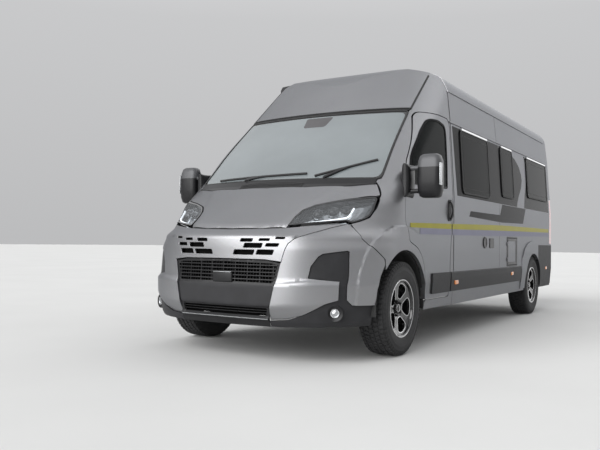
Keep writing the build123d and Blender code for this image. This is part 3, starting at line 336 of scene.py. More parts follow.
def shell(outer, surface, step=0.03, thick=0.018, holes=(), regions=(), lift=0.0, bump=None, side=1,
          dish=None):
    """A sheet on a surface: vertices, faces and each face's material. Regions take materials 1, 2, ..."""
    uv, tris, kind = cells(outer, holes, regions, step)
    e = 0.002
    p = surface(uv[:, 0], uv[:, 1])
    du = surface(uv[:, 0] + e, uv[:, 1]) - surface(uv[:, 0] - e, uv[:, 1])
    dv = surface(uv[:, 0], uv[:, 1] + e) - surface(uv[:, 0], uv[:, 1] - e)
    n = np.cross(du, dv)
    n /= np.maximum(np.linalg.norm(n, axis=1), 1e-9)[:, None]
    toward = dish if dish is not None else p - CENTRE
    flip = np.sum(n * toward, 1) < 0
    n[flip] *= -1
    out = p + n * (lift + (bump(p) if bump else 0.0) * np.ones(len(p)))[:, None]
    back = p + n * (lift - thick)
    used = np.unique(tris)
    order = -np.ones(len(uv), int)
    order[used] = np.arange(len(used))
    tris = order[tris]
    out, back, n = out[used], back[used], n[used]
    a, b, c = out[tris[:, 0]], out[tris[:, 1]], out[tris[:, 2]]
    wrong = np.sum(np.cross(b - a, c - a) * n[tris[:, 0]], 1) < 0
    tris[wrong] = tris[wrong][:, ::-1]
    count = len(out)
    edge_of = {}
    for t in tris:
        for i, j in ((t[0], t[1]), (t[1], t[2]), (t[2], t[0])):
            edge_of[(i, j)] = True
    walls = [(j, i, i + count, j + count) for i, j in edge_of if (j, i) not in edge_of]
    verts = np.concatenate((out, back))
    verts[:, 1] = y_of(verts[:, 1])
    faces = [tuple(t) for t in tris] + [tuple(t[::-1] + count) for t in tris] + walls
    index = list(kind) + [0] * (len(tris) + len(walls))
    if side < 0:
        verts[:, 0] *= -1
        faces = [f[::-1] for f in faces]
    return verts, faces, index


def panel(name, outer, surface, mats, body="chassis", replaces=(), slot=None, sides=(1,), bevel=0.003,
          **how):
    """One piece from a shell, or from its left and mirrored right shells together."""
    verts, faces, index = [], [], []
    for side in sides:
        v, f, k = shell(outer, surface, side=side, **how)
        base = len(verts)
        verts += list(v)
        faces += [tuple(i + base for i in face) for face in f]
        index += k
    return add_piece(name, verts, faces, mats, index, body, replaces, slot, bevel=bevel)


def swept(points, ups, profile, closed=False, scale=None):
    """A profile run along a line of points; its first axis lies across, its second along the ups."""
    points = np.array(points, float)
    ups = np.array(ups, float) if np.ndim(ups) == 2 else np.tile(np.array(ups, float), (len(points), 1))
    if closed:
        tangent = np.roll(points, -1, 0) - np.roll(points, 1, 0)
    else:
        tangent = np.gradient(points, axis=0)
    tangent /= np.linalg.norm(tangent, axis=1)[:, None]
    across = np.cross(tangent, ups)
    across /= np.linalg.norm(across, axis=1)[:, None]
    ups = np.cross(across, tangent)
    size = np.ones(len(points)) if scale is None else np.array(scale, float)
    verts = []
    for p, a, u, k in zip(points, across, ups, size):
        verts += [p + (a * s + u * t) * k for s, t in profile]
    m, faces = len(profile), []
    for i in range(len(points) if closed else len(points) - 1):
        j = (i + 1) % len(points)
        faces += [(i * m + k, i * m + (k + 1) % m, j * m + (k + 1) % m, j * m + k) for k in range(m)]
    if not closed:
        faces += [tuple(reversed(range(m))), tuple((len(points) - 1) * m + k for k in range(m))]
    return verts, faces


def rect(width, height, soft=0.25, n=3):
    """A rounded bar's profile."""
    r = min(width, height) * soft
    corners = [(width / 2 - r, height / 2 - r, 0), (-width / 2 + r, height / 2 - r, 90),
               (-width / 2 + r, -height / 2 + r, 180), (width / 2 - r, -height / 2 + r, 270)]
    return [(x + r * math.cos(math.radians(a + t)), z + r * math.sin(math.radians(a + t)))
            for x, z, a in corners for t in np.linspace(0, 90, n + 1)]


def lathe(profile, centre, axis, steps=64, start=0.0, closed=True):
    """A profile of (along the axis, radius) turned about the axis."""
    axis = np.array(axis, float) / np.linalg.norm(axis)
    first = np.cross(axis, (0, 0, 1) if abs(axis[2]) < 0.9 else (0, 1, 0))
    first /= np.linalg.norm(first)
    second = np.cross(axis, first)
    verts = []
    for k in range(steps):
        a = start + 2 * math.pi * k / steps
        out = first * math.cos(a) + second * math.sin(a)
        verts += [np.array(centre) + axis * h + out * r for h, r in profile]
    m, faces = len(profile), []
    for k in range(steps):
        j = (k + 1) % steps
        for i in range(m if closed else m - 1):
            i2 = (i + 1) % m
            faces.append((k * m + i, k * m + i2, j * m + i2, j * m + i))
    return verts, faces


def soft_box(low, high, radius, n=3):
    """A box with rounded edges, built as a squashed grid."""
    low, high = np.array(low, float), np.array(high, float)
    radius = min(radius, *((high - low) * 0.49))
    ticks = [0.0] + [1 - math.cos(math.pi / 2 * k / n) for k in range(1, n + 1)]
    side = [np.concatenate((low[i] + radius * np.array(ticks), high[i] - radius * np.array(ticks)[::-1]))
            for i in range(3)]
    m = len(side[0])
    inner_low, inner_high = low + radius, high - radius
    verts, faces, seen = [], [], {}

    def vert(i, j, k):
        if (i, j, k) not in seen:
            p = np.array((side[0][i], side[1][j], side[2][k]))
            core = np.clip(p, inner_low, inner_high)
            q = p - core
            cube = np.where(p < core, -1, 1) * np.minimum(np.abs(q) / radius, 1)
            a = cube ** 2
            ball = cube * np.sqrt(np.maximum(1 - a[[1, 2, 0]] / 2 - a[[2, 0, 1]] / 2
                                             + a[[1, 2, 0]] * a[[2, 0, 1]] / 3, 0))
            seen[(i, j, k)] = len(verts)
            verts.append(core + ball * radius)
        return seen[(i, j, k)]

    end = m - 1
    for i in range(end):
        for j in range(end):
            k, n = i + 1, j + 1
            faces.append((vert(i, j, 0), vert(i, n, 0), vert(k, n, 0), vert(k, j, 0)))
            faces.append((vert(i, j, end), vert(k, j, end), vert(k, n, end), vert(i, n, end)))
            faces.append((vert(i, 0, j), vert(k, 0, j), vert(k, 0, n), vert(i, 0, n)))
            faces.append((vert(i, end, j), vert(i, end, n), vert(k, end, n), vert(k, end, j)))
            faces.append((vert(0, i, j), vert(0, i, n), vert(0, k, n), vert(0, k, j)))
            faces.append((vert(end, i, j), vert(end, k, j), vert(end, k, n), vert(end, i, n)))
    return verts, faces


def block(low, high, radius):
    """A soft box between two corners given as (x, d, z)."""
    return soft_box((low[0], y_of(low[1]), low[2]), (high[0], y_of(high[1]), high[2]), radius)


def cushion(centre, right, up, size, crown=0.3, grooves=(), n=34, back=0.8):
    """A crowned closed pad whose sides pull in between its corners, with sewn channels at the grooves."""
    right, up = (np.array(a, float) / np.linalg.norm(a) for a in (right, up))
    out = np.cross(right, up)
    w, h, t = (s / 2 for s in size)
    ticks = np.sin(np.linspace(-math.pi / 2, math.pi / 2, n + 1))
    verts, faces, seen = [], [], {}

    def vert(i, j, face):
        key = (i, j, 0 if i in (0, n) or j in (0, n) else face)
        if key not in seen:
            a, b = ticks[i], ticks[j]
            full = ((1 - a ** 8) * (1 - b ** 8)) ** 0.36
            depth = t * full * (1 - crown + crown * (1 - a * a) * (1 - b * b))
            for g in grooves:
                depth -= 0.010 * full * math.exp(-((b - g) / 0.035) ** 2)
            x, z = w * a * (1 - 0.035 * (1 - b * b)), h * b * (1 - 0.035 * (1 - a * a))
            seen[key] = len(verts)
            rise = depth if face > 0 else -depth * back
            verts.append(np.array(centre) + right * x + up * z + out * rise)
        return seen[key]

    for i in range(n):
        for j in range(n):
            faces.append((vert(i, j, 1), vert(i + 1, j, 1), vert(i + 1, j + 1, 1), vert(i, j + 1, 1)))
            faces.append((vert(i, j, -1), vert(i, j + 1, -1), vert(i + 1, j + 1, -1), vert(i + 1, j, -1)))
    return verts, faces


def mirror_x(part):
    """A part's mirror image on the vehicle's other side."""
    verts, faces = part
    return [np.array((-v[0], v[1], v[2])) for v in verts], [tuple(reversed(f)) for f in faces]


def on_side(part, side):
    """A part made for the left, or its mirror image for the right."""
    return part if side > 0 else mirror_x(part)


def surface_line(points, surface, lift=0.0, step=0.02, closed=False, side=1):
    """Points and outward directions along a line drawn on a surface."""
    uv = resample(points, step, closed)
    e = 0.002
    p = surface(uv[:, 0], uv[:, 1])
    n = np.cross(surface(uv[:, 0] + e, uv[:, 1]) - p, surface(uv[:, 0], uv[:, 1] + e) - p)
    n /= np.linalg.norm(n, axis=1)[:, None]
    n[np.sum(n * (p - CENTRE), 1) < 0] *= -1
    p = p + n * lift
    p[:, 1] = y_of(p[:, 1])
    p[:, 0] *= side
    n[:, 0] *= side
    return p, n


def bar(points, size, surface=by_front, lift=0.0, step=0.02, side=1, closed=False):
    """A rounded bar of a width and height that follows a line drawn on a surface."""
    return swept(*surface_line(points, surface, lift, step, closed, side), rect(*size), closed=closed)


def circle(count, radius, height=None, centre=(0, 0)):
    """Points round a circle or an ellipse."""
    height = radius if height is None else height
    return [(centre[0] + radius * math.cos(a), centre[1] + height * math.sin(a))
            for a in np.linspace(0, 2 * math.pi, count + 1)[:-1]]


# ---- materials ----
def add_node(tree, kind, feeds=(), **values):
    """A shader node, the sockets that feed its inputs and its inputs' values."""
    node = tree.nodes.new("ShaderNode" + kind)
    for key, source in dict(feeds).items():
        tree.links.new(source, node.inputs[key])
    set_inputs(node, values)
    return node


def set_inputs(node, values):
    """A node's input values by name, with underscores for spaces."""
    for key, value in values.items():
        node.inputs[key.replace("_", " ")].default_value = value


def material(name, color, change, rough, mottle=3.0, grain=0.0, grain_scale=400.0, metallic=0.0, coat=0.0,
             shine=0.5, **extra):
    """A darker and a lighter shade mixed by noise, a roughness that varies, and a fine relief."""
    mat = bpy.data.materials.new(name)
    mat.use_nodes = True
    tree = mat.node_tree
    shader = tree.nodes["Principled BSDF"]
    place = add_node(tree, "TexCoord").outputs["Object"]
    noise = add_node(tree, "TexNoise", {"Vector": place}, Scale=mottle, Detail=6).outputs["Fac"]
    ramp = add_node(tree, "ValToRGB", {"Fac": noise})
    for element, spot, tone in zip(ramp.color_ramp.elements, (0.35, 0.65), (1 - change, 1 + change)):
        element.position = spot
        element.color = (*[min(1, c * tone) for c in color], 1)
    spread = add_node(tree, "MapRange", {"Value": noise}, To_Min=rough[0], To_Max=rough[1])
    tree.links.new(ramp.outputs["Color"], shader.inputs["Base Color"])
    tree.links.new(spread.outputs["Result"], shader.inputs["Roughness"])
    if grain:
        fine = add_node(tree, "TexNoise", {"Vector": place}, Scale=grain_scale, Detail=3).outputs["Fac"]
        relief = add_node(tree, "Bump", {"Height": fine}, Strength=grain, Distance=0.001)
        tree.links.new(relief.outputs["Normal"], shader.inputs["Normal"])
    set_inputs(shader, dict(Metallic=metallic, Coat_Weight=coat, Coat_Roughness=0.04,
                            Specular_IOR_Level=shine, **extra))
    return mat


def flaked(mat, scale=2600.0, amount=0.5):
    """Fine sparkle for a metallic lacquer: single flakes that are lighter and turned a little."""
    tree = mat.node_tree
    shader = tree.nodes["Principled BSDF"]
    place = next(n for n in tree.nodes if n.type == "TEX_COORD").outputs["Object"]
    flakes = add_node(tree, "TexVoronoi", {"Vector": place}, Scale=scale)
    lighter = tree.nodes.new("ShaderNodeMix")
    lighter.data_type, lighter.blend_type = "RGBA", "SOFT_LIGHT"
    lighter.inputs[0].default_value = amount
    tree.links.new(shader.inputs["Base Color"].links[0].from_socket, lighter.inputs[6])
    tree.links.new(flakes.outputs["Color"], lighter.inputs[7])
    tone = add_node(tree, "HueSaturation", {"Color": lighter.outputs[2]}, Saturation=0.35)
    tree.links.new(tone.outputs["Color"], shader.inputs["Base Color"])
    return mat


LACQUER_TINT = (0.45, 0.46, 0.48, 1)
paint = flaked(material("paint", (0.245, 0.249, 0.275), 0.03, (0.32, 0.38), metallic=0.86, coat=0.12,
                        mottle=1.5, grain=0.02, grain_scale=900, shine=0.2, Specular_Tint=LACQUER_TINT))
film = material("dark_film", (0.012, 0.012, 0.013), 0.2, (0.16, 0.24), mottle=4, shine=0.02)
lime = material("lime_stripe", (0.33, 0.30, 0.020), 0.05, (0.3, 0.4), mottle=6, shine=0.08)
lilac = material("lilac_band", (0.225, 0.222, 0.280), 0.05, (0.32, 0.38), metallic=0.86, coat=0.1, mottle=6,
                 shine=0.2, Specular_Tint=LACQUER_TINT)
plastic = material("grained_plastic", (0.022, 0.022, 0.024), 0.15, (0.5, 0.66), mottle=9, grain=0.6,
                   grain_scale=1400, shine=0.3)
satin = material("satin_black", (0.012, 0.012, 0.013), 0.15, (0.28, 0.4), mottle=7, grain=0.12,
                 grain_scale=700, shine=0.28)
# Near-black for sheets of painted shade set behind openings.
void = material("shadow_black", (0.004, 0.004, 0.004), 0.2, (0.7, 0.9), mottle=8, shine=0.05)
# A duller, darker stand-in for the body paint on the mirrors' caps and upper arms: the paint with painted
# shade.
mirror_cap = material("mirror_cap", (0.085, 0.086, 0.09), 0.06, (0.34, 0.42), metallic=0.25, mottle=6,
                      grain=0.05, shine=0.35)
gloss = material("gloss_black", (0.008, 0.008, 0.009), 0.1, (0.06, 0.12), coat=0.6, mottle=5)
rubber = material("seal_rubber", (0.014, 0.014, 0.014), 0.2, (0.6, 0.8), mottle=14, grain=0.4,
                  grain_scale=1600)
tread = material("tyre_rubber", (0.019, 0.019, 0.02), 0.25, (0.66, 0.85), mottle=8, grain=0.8,
                 grain_scale=900)
silver = material("machined_silver", (0.72, 0.72, 0.73), 0.05, (0.18, 0.28), metallic=1.0, mottle=40,
                  grain=0.15, grain_scale=1500)
alloy = material("gloss_black_alloy", (0.014, 0.014, 0.015), 0.15, (0.12, 0.2), metallic=0.3, coat=0.8,
                 mottle=9)
steel = material("brake_steel", (0.34, 0.33, 0.32), 0.2, (0.28, 0.45), metallic=1.0, mottle=30, grain=0.4,
                 grain_scale=500)
chrome = material("chrome", (0.86, 0.87, 0.88), 0.02, (0.03, 0.08), metallic=1.0, mottle=20)
under = material("underbody_black", (0.03, 0.03, 0.031), 0.3, (0.6, 0.85), mottle=6, grain=0.6,
                 grain_scale=250)
lamp_red = material("red_lens", (0.42, 0.012, 0.012), 0.15, (0.06, 0.14), coat=0.7, mottle=25, grain=0.25,
                    grain_scale=160)
amber = material("amber_lens", (0.75, 0.22, 0.02), 0.15, (0.08, 0.16), coat=0.7, mottle=25, grain=0.25,
                 grain_scale=260)
white_led = material("led_white", (0.9, 0.92, 0.95), 0.03, (0.15, 0.25), mottle=60, grain=0.1,
                     grain_scale=300, Emission_Color=(0.9, 0.95, 1, 1), Emission_Strength=1.3)
tank_white = material("moulded_tank", (0.35, 0.35, 0.34), 0.08, (0.5, 0.65), mottle=5, grain=0.3)
board = material("cabinet_board", (0.42, 0.31, 0.21), 0.18, (0.35, 0.5), mottle=12, grain=0.15,
                 grain_scale=180)
lining = material("cab_lining", (0.10, 0.10, 0.105), 0.15, (0.7, 0.85), mottle=12, grain=0.7, grain_scale=700)
fabric = material("woven_fabric", (0.07, 0.072, 0.078), 0.3, (0.85, 0.97), mottle=90, grain=1.0,
                  grain_scale=1300, Sheen_Weight=0.35)
sheet_cloth = material("mattress_cloth", (0.62, 0.60, 0.56), 0.06, (0.85, 0.97), mottle=70, grain=0.9,
                       grain_scale=1000, Sheen_Weight=0.3)


def glass(name, tint, alpha, rough=(0.0, 0.02), shine=0.5):
    """A tinted pane: part of the light passes straight through, the rest is mirrored by the surface."""
    mat = material(name, tint, 0.06, rough, mottle=2.0, shine=shine, IOR=1.52)
    tree = mat.node_tree
    clear = add_node(tree, "BsdfTransparent", Color=(*[min(1, 0.55 + c) for c in tint], 1))
    mirrored_part = tree.nodes["Principled BSDF"].outputs["BSDF"]
    mix = add_node(tree, "MixShader", {1: clear.outputs["BSDF"], 2: mirrored_part}, Fac=alpha)
    tree.links.new(mix.outputs["Shader"], tree.nodes["Material Output"].inputs["Surface"])
    return mat


# The windscreen's pale grey tint is a painted reflection of the bright sky, laid over the glass's own slight
# green-grey.
screen_glass = glass("screen_glass", (0.27, 0.30, 0.31), 0.74, shine=0.9)
door_glass = glass("door_glass", (0.008, 0.010, 0.010), 0.84, shine=0.02)
dark_glass = glass("tinted_window", (0.004, 0.005, 0.005), 0.96, shine=0.015)
lamp_cover = glass("lamp_cover", (0.30, 0.31, 0.32), 0.16)
frit = material("glass_frit", (0.055, 0.052, 0.055), 0.1, (0.05, 0.1), mottle=12, grain=0.1)
reflector = material("lamp_reflector", (0.42, 0.43, 0.44), 0.1, (0.16, 0.26), metallic=0.9, mottle=30,
                     grain=0.2, grain_scale=300)

# The CAD meshes that stay in view take a material by their slot, or by their node's name.
SLOT_MATS = {"paint": paint, "glass": door_glass, "dark_glass": dark_glass, "dark_plastic": plastic,
             "lamp": lamp_cover, "red_lamp": lamp_red, "underbody": under, "alloy": alloy, "tyre": tread,
             "upholstery": fabric, "cabinet": board}
NODE_MATS = {"windscreen": screen_glass, "tanks": tank_white, "mattress": sheet_cloth, "dashboard": lining,
             "cowl": satin, "exhaust": steel}
slot_of = {row["node"]: row["material_slot"] for row in frame["record"]["subparts"]}
for row in frame["record"]["subparts"]:
    chosen = NODE_MATS.get(row["node"], SLOT_MATS[row["material_slot"]])
    for s in nodes[row["node"]].material_slots:
        s.material = chosen


# ---- nose panels ----
# Half the gap between two panels, and the outline of the raised flare round the front arch.
GAP = 0.0035
FLARE_LINE = [(0.340, 0.380), (0.350, 0.573), (0.377, 0.647), (0.404, 0.733), (0.455, 0.820), (0.542, 0.897),
              (0.646, 0.949), (0.750, 0.988), (0.953, 1.001), (1.112, 0.980), (1.223, 0.940), (1.324, 0.855),
              (1.380, 0.760), (1.400, 0.640), (1.400, 0.380)]
FLARE_TOP = shrunk(FLARE_LINE, 0.016)


def flare_relief(p):
    flat = p[:, 1:]
    within = inside(flat, np.array(FLARE_LINE))
    away = distance_to(flat, FLARE_LINE[:-1])
    return np.where(within, 0.0115 * smooth(away / 0.015), 0) - 0.002


BONNET_HALF = [(0, 0.108), (0.25, 0.124), (0.442, 0.170), (0.449, 0.20), (0.452, 0.277), (0.473, 0.348),
               (0.533, 0.422), (0.646, 0.497), (0.791, 0.585), (0.905, 0.684), (0.925, 0.715), (0.862, 0.782),
               (0.64, 0.672), (0.34, 0.598), (0, 0.572)]


def bonnet_relief(p):
    line = np.interp(p[:, 1], (0.15, 0.30, 0.62, 0.78), (0.40, 0.44, 0.60, 0.72))
    middle = smooth((line + 0.045 - np.abs(p[:, 0])) / 0.07)
    lip = smooth((0.137 + 0.31 * p[:, 0] ** 2 - p[:, 1]) / 0.028)
    return 0.007 * middle - 0.012 * lip - 0.005


panel("bonnet_skin", shrunk(mirrored(BONNET_HALF), GAP), by_plan, [paint], body="bonnet", replaces=["bonnet"],
      slot="paint", bump=bonnet_relief, step=0.024, thick=0.03)

GRILLE_HALF = [(0, 0.731), (0.359, 0.729), (0.442, 0.720), (0.484, 0.715), (0.490, 0.745), (0.507, 0.807),
               (0.522, 0.845), (0.557, 0.877), (0.622, 0.909), (0.73, 0.960), (0.812, 0.990), (0.795, 0.993),
               (0.69, 0.982), (0.55, 0.969), (0.44, 0.957), (0.25, 0.951), (0, 0.947)]
SLOTS = [(0.462, 0.884, 0.066, 0.016), (0.346, 0.871, 0.083, 0.018), (0.203, 0.867, 0.102, 0.024),
         (0.409, 0.834, 0.097, 0.024), (0.258, 0.829, 0.149, 0.034), (0.356, 0.782, 0.132, 0.036),
         (0.183, 0.780, 0.171, 0.036)]
slot_loops = []
for x, z, w, h in SLOTS:
    for side in (1, -1):
        lean = 0.35 * h
        box = [(side * (x + across * w / 2 + up * lean / 2), z + up * h / 2)
               for across, up in ((-1, -1), (1, -1), (1, 1), (-1, 1))]
        slot_loops.append(rounded(box, 0.006, 2))
panel("grille_panel_skin", shrunk(mirrored(GRILLE_HALF), GAP * 0.7), by_front, [paint],
      replaces=["grille_panel"], slot="paint", holes=slot_loops, step=0.022, thick=0.016, bevel=0.002)
# A near-black sheet behind the grille's slots: painted shade for the dark inside of the nose.
backing = [(-0.56, 0.74), (0.56, 0.74), (0.60, 0.90), (0.3, 0.925), (-0.3, 0.925), (-0.60, 0.90)]
panel("grille_backing", backing, by_front, [void], lift=-0.034, thick=0.004, step=0.06, bevel=0)

BUMPER = mixed(
    ("f", [(0.484, 0.715), (0.490, 0.745), (0.507, 0.807), (0.522, 0.845), (0.557, 0.877), (0.622, 0.909),
           (0.73, 0.960), (0.812, 0.990), (0.824, 0.984)]),
    ("s", [(0.431, 0.960), (0.434, 0.884), (0.484, 0.831), (0.561, 0.771), (0.603, 0.742), (0.612, 0.700),
           (0.560, 0.623), (0.520, 0.526), (0.509, 0.415)]),
    ("f", [(0.900, 0.419), (0.877, 0.457), (0.882, 0.627), (0.877, 0.793), (0.866, 0.801), (0.741, 0.778),
           (0.716, 0.758), (0.675, 0.689), (0.660, 0.606), (0.724, 0.598), (0.838, 0.586), (0.833, 0.457),
           (0.763, 0.430), (0.692, 0.382), (0.633, 0.348), (0.532, 0.313), (0.400, 0.304), (0.410, 0.400),
           (0.445, 0.556), (0.478, 0.707)]))

BLADE_STEP = 0.024
BLADE_TOP = [(0.42, 0.560), (0.45, 0.573), (0.661, 0.599), (0.836, 0.584)]
blade_edges = [mixed(("f", [(x, z - BLADE_STEP * down) for x, z in BLADE_TOP]),
                     ("f", [(x, z - BLADE_STEP * (down + 0.5)) for x, z in BLADE_TOP[::-1]]))
               for down in (0, 0.5)]


def bumper_relief(p):
    x, z = np.abs(p[:, 0]), p[:, 2]
    top = np.interp(x, *np.array(BLADE_TOP).T)
    crease = np.interp(x, (0.414, 0.64, 0.73, 0.831), (0.401, 0.415, 0.427, 0.458))
    blade = smooth((top - z) / BLADE_STEP) * (x < 0.842)
    under_cut = np.clip((crease - z) / 0.1, 0, 1)
    side_flare = np.where(x > 0.87, flare_relief(p) + 0.002, 0)
    return 0.010 * blade - 0.032 * under_cut * (x < 0.842) + side_flare - 0.004


bumper_lines = [wrap_loop(edge) for edge in blade_edges + [mixed(("s", FLARE_LINE)), mixed(("s", FLARE_TOP))]]
panel("bumper_skin", wrap_loop(BUMPER), by_wrap, [paint] * 5, replaces=["front_bumper"], slot="paint",
      regions=bumper_lines, bump=bumper_relief, sides=(1, -1), step=0.016, thick=0.03, bevel=0.002)

TRIM = mixed(
    ("f", [(0.664, 0.608), (0.679, 0.689), (0.719, 0.755), (0.743, 0.775), (0.864, 0.797), (0.874, 0.791),
           (0.879, 0.627), (0.874, 0.457), (0.898, 0.416)]),
    ("s", [(0.508, 0.411), (0.508, 0.30), (0.515, 0.262)]),
    ("f", [(0.40, 0.255), (0.40, 0.299), (0.532, 0.309), (0.635, 0.344), (0.695, 0.378), (0.765, 0.426),
           (0.837, 0.455), (0.842, 0.589), (0.724, 0.602)]))
FOG = (0.811, 0.364)
fog_s = FOG[0] + (nose_d(*FOG) - float(plan(np.array([FOG[1]]))[0][0]))
fog_loop = circle(32, 0.052 * 1.2, 0.050, (fog_s, FOG[1]))


def trim_relief(p):
    return -0.012 - 0.02 * smooth((0.30 - p[:, 2]) / 0.08)


panel("bumper_trim_skin", wrap_loop(TRIM), by_wrap, [plastic], replaces=["bumper_trim"], slot="dark_plastic",
      bump=trim_relief, holes=[fog_loop], sides=(1, -1), step=0.016, thick=0.03, bevel=0.002)

CENTRE_HALF = [(0, 0.255), (0.397, 0.255), (0.397, 0.304), (0.407, 0.400), (0.442, 0.556), (0.475, 0.707),
               (0.440, 0.712), (0.359, 0.724), (0, 0.726)]
opening = rounded(mirrored([(0, 0.572), (0.425, 0.570), (0.452, 0.690), (0.42, 0.704), (0, 0.712)]), 0.014)
intake = rounded(mirrored([(0, 0.332), (0.372, 0.332), (0.384, 0.388), (0, 0.390)]), 0.012)
plate = rounded(mirrored([(0, 0.402), (0.398, 0.402), (0.428, 0.550), (0, 0.554)]), 0.012)
# A thin strip of lamp-reflector grey along the raised edge of the black lip: a painted highlight.
lip_highlight = mirrored([(0, 0.3125), (0.390, 0.3105), (0.391, 0.3165), (0, 0.3185)])


def centre_relief(p):
    z, x = p[:, 2], np.abs(p[:, 0])
    on_plate = smooth((z - 0.398) / 0.006) * smooth((0.556 - z) / 0.006)
    on_lip = smooth((z - 0.302) / 0.006) * smooth((0.326 - z) / 0.006)
    return -0.012 + 0.009 * on_plate + 0.016 * on_lip - 0.02 * smooth((0.30 - z) / 0.08)


panel("centre_panel", mirrored(CENTRE_HALF), by_front, [satin, plastic, reflector],
      replaces=["centre_grille"], slot="dark_plastic", holes=[opening, intake], regions=[plate, lip_highlight],
      bump=centre_relief, step=0.018, thick=0.02, bevel=0.002)
bars = []
for z in np.linspace(0.590, 0.690, 5):
    half = np.interp(z, (0.57, 0.69), (0.43, 0.455))
    bars.append(bar([(-half, z), (half, z)], (0.009, 0.022), lift=-0.016))
for reach, count, size, lift in ((0.424, 9, (0.007, 0.02), -0.024), (0.4325, 35, (0.003, 0.016), -0.036)):
    for x in np.linspace(-reach, reach, count):
        bars.append(bar([(x, 0.572), (x, 0.71)], size, lift=lift, step=0.14))
for z in (0.352, 0.371):
    bars.append(bar([(-0.38, z), (0.38, z)], (0.004, 0.022), lift=-0.03))
add_piece("grille_bars", *joined(bars), [satin])
# A near-black sheet behind the lower openings: painted shade for the dark space behind them.
dark = mirrored([(0, 0.325), (0.40, 0.325), (0.46, 0.60), (0.46, 0.72), (0, 0.72)])
panel("intake_backing", dark, by_front, [void], lift=-0.05, thick=0.004, step=0.06, bevel=0)
add_piece("radar_block", *block((-0.088, 0.003, 0.562), (0.088, 0.05, 0.632), 0.008), [satin])
add_piece("radar_edge", *block((-0.082, 0.002, 0.6325), (0.082, 0.03, 0.637), 0.002), [reflector])

# ---- wings and pillars ----
ARCH = [(AXLES["front"] + ARCH_RADIUS * math.cos(a), HUB_Z + ARCH_RADIUS * math.sin(a))
        for a in np.linspace(math.radians(-6), math.radians(137), 30)]
CAB_DOOR = [(1.370, 0.392), (1.960, 0.392), (1.975, 0.700), (2.030, 1.200), (2.035, 1.940), (1.985, 1.985),
            (1.530, 1.985), (1.470, 1.945), (1.100, 1.520), (0.960, 1.300), (0.957, 1.060), (1.030, 0.868),
            (1.100, 0.850), (1.190, 0.820), (1.270, 0.765), (1.325, 0.685), (1.358, 0.560)]


def front_to_side(x, z):
    return nose_d(x, z), z


def plan_to_side(x, d):
    return d, float(by_plan(np.array([x]), np.array([d]))[0][2])


# The wing's and pillar's outline from the side: round the bumper and the lamp, along the bonnet, up the
# windscreen and the roof cap, then back down behind the door and round the arch.
body_side = [(0.616, 0.738), (0.566, 0.775), (0.488, 0.835), (0.437, 0.887), (0.434, 0.960)]
body_side += [front_to_side(*p) for p in ((0.830, 0.992), (0.870, 1.008), (0.911, 1.040), (0.932, 1.110))]
body_side += [plan_to_side(*p) for p in ((0.930, 0.700), (0.930, 0.720), (0.865, 0.788), (0.850, 0.796))]
body_side += [front_to_side(0.850, z) for z in (1.30, 1.345)]
body_side += [front_to_side(0.872 - 0.056 * t, 1.352 + 0.633 * t) for t in np.linspace(0, 1, 16)]
body_side += [front_to_side(0.818 - 0.014 * t, 2.006 + 0.38 * t) for t in np.linspace(0, 1, 12)]
body_side += [(1.99, 2.421), (2.059, 2.422), (2.059, 0.318), (1.392, 0.318)]
body_side += ARCH[1:]
for side, name in NAMES.items():
    panel(f"wing_and_pillar_{name}", body_side, by_side, [paint, paint, paint], slot="paint", sides=(side,),
          replaces=["front_body"] if side > 0 else (), holes=[rounded(CAB_DOOR, 0.03)],
          regions=[FLARE_LINE, FLARE_TOP], bump=flare_relief, step=0.026, thick=0.02, bevel=0)

# ---- cab doors ----
FRAME_EDGE = [(1.020, 1.322), (1.893, 1.340), (1.922, 1.60), (1.926, 1.845), (1.898, 1.908), (1.754, 1.932),
              (1.600, 1.924), (1.532, 1.902), (1.413, 1.808), (1.226, 1.632), (1.159, 1.558)]
CAB_GLASS = shrunk(FRAME_EDGE, 0.016)
DOOR = rounded(shrunk(CAB_DOOR, GAP * 2), 0.03)


def door_relief(p):
    return flare_relief(p) + 0.003 * np.exp(-((p[:, 2] - 1.285) / 0.012) ** 2) - 0.001


for side, name in NAMES.items():
    body = f"door_{name}"
    panel(f"cab_door_skin_{name}", DOOR, by_side, [paint, paint, paint], body=body,
          replaces=[f"cab_door_{name}"], slot="paint", sides=(side,), holes=[rounded(CAB_GLASS, 0.03)],
          regions=[FLARE_LINE, FLARE_TOP], bump=door_relief, step=0.026, thick=0.035, bevel=0.003)
    strip = rounded(oblong(1.522, 0.438, 1.950, 0.610), 0.012)
    panel(f"door_moulding_{name}", strip, by_side, [plastic], body=body, sides=(side,), lift=0.0115,
          thick=0.012, step=0.06, bevel=0.004)
    panel(f"cab_window_frame_{name}", rounded(FRAME_EDGE, 0.035), by_side, [film], body=body, sides=(side,),
          holes=[rounded(CAB_GLASS, 0.03)], lift=0.0025, thick=0.012, step=0.04, bevel=0.0015)
    panel(f"cab_window_{name}", rounded(CAB_GLASS, 0.03), by_side, [door_glass], body=body, sides=(side,),
          replaces=[f"cab_glass_{name}"], slot="glass", lift=-0.004, thick=0.005, step=0.04, bevel=0)

# ---- windscreen ----
SCREEN_HALF = [(0, 1.352), (0.868, 1.352), (0.812, 1.985), (0, 1.985)]
CLEAR_HALF = [(0, 1.362), (0.855, 1.362), (0.802, 1.968), (0, 1.972)]
screen = rounded(mirrored(SCREEN_HALF), 0.03)
panel("windscreen_pane", screen, by_front, [gloss, screen_glass], replaces=["windscreen"], slot="glass",
      regions=[rounded(mirrored(CLEAR_HALF), 0.05)], step=0.035, thick=0.006, bevel=0)
add_piece("windscreen_seal", *bar(screen, (0.014, 0.008), lift=0.001, step=0.03, closed=True), [rubber])

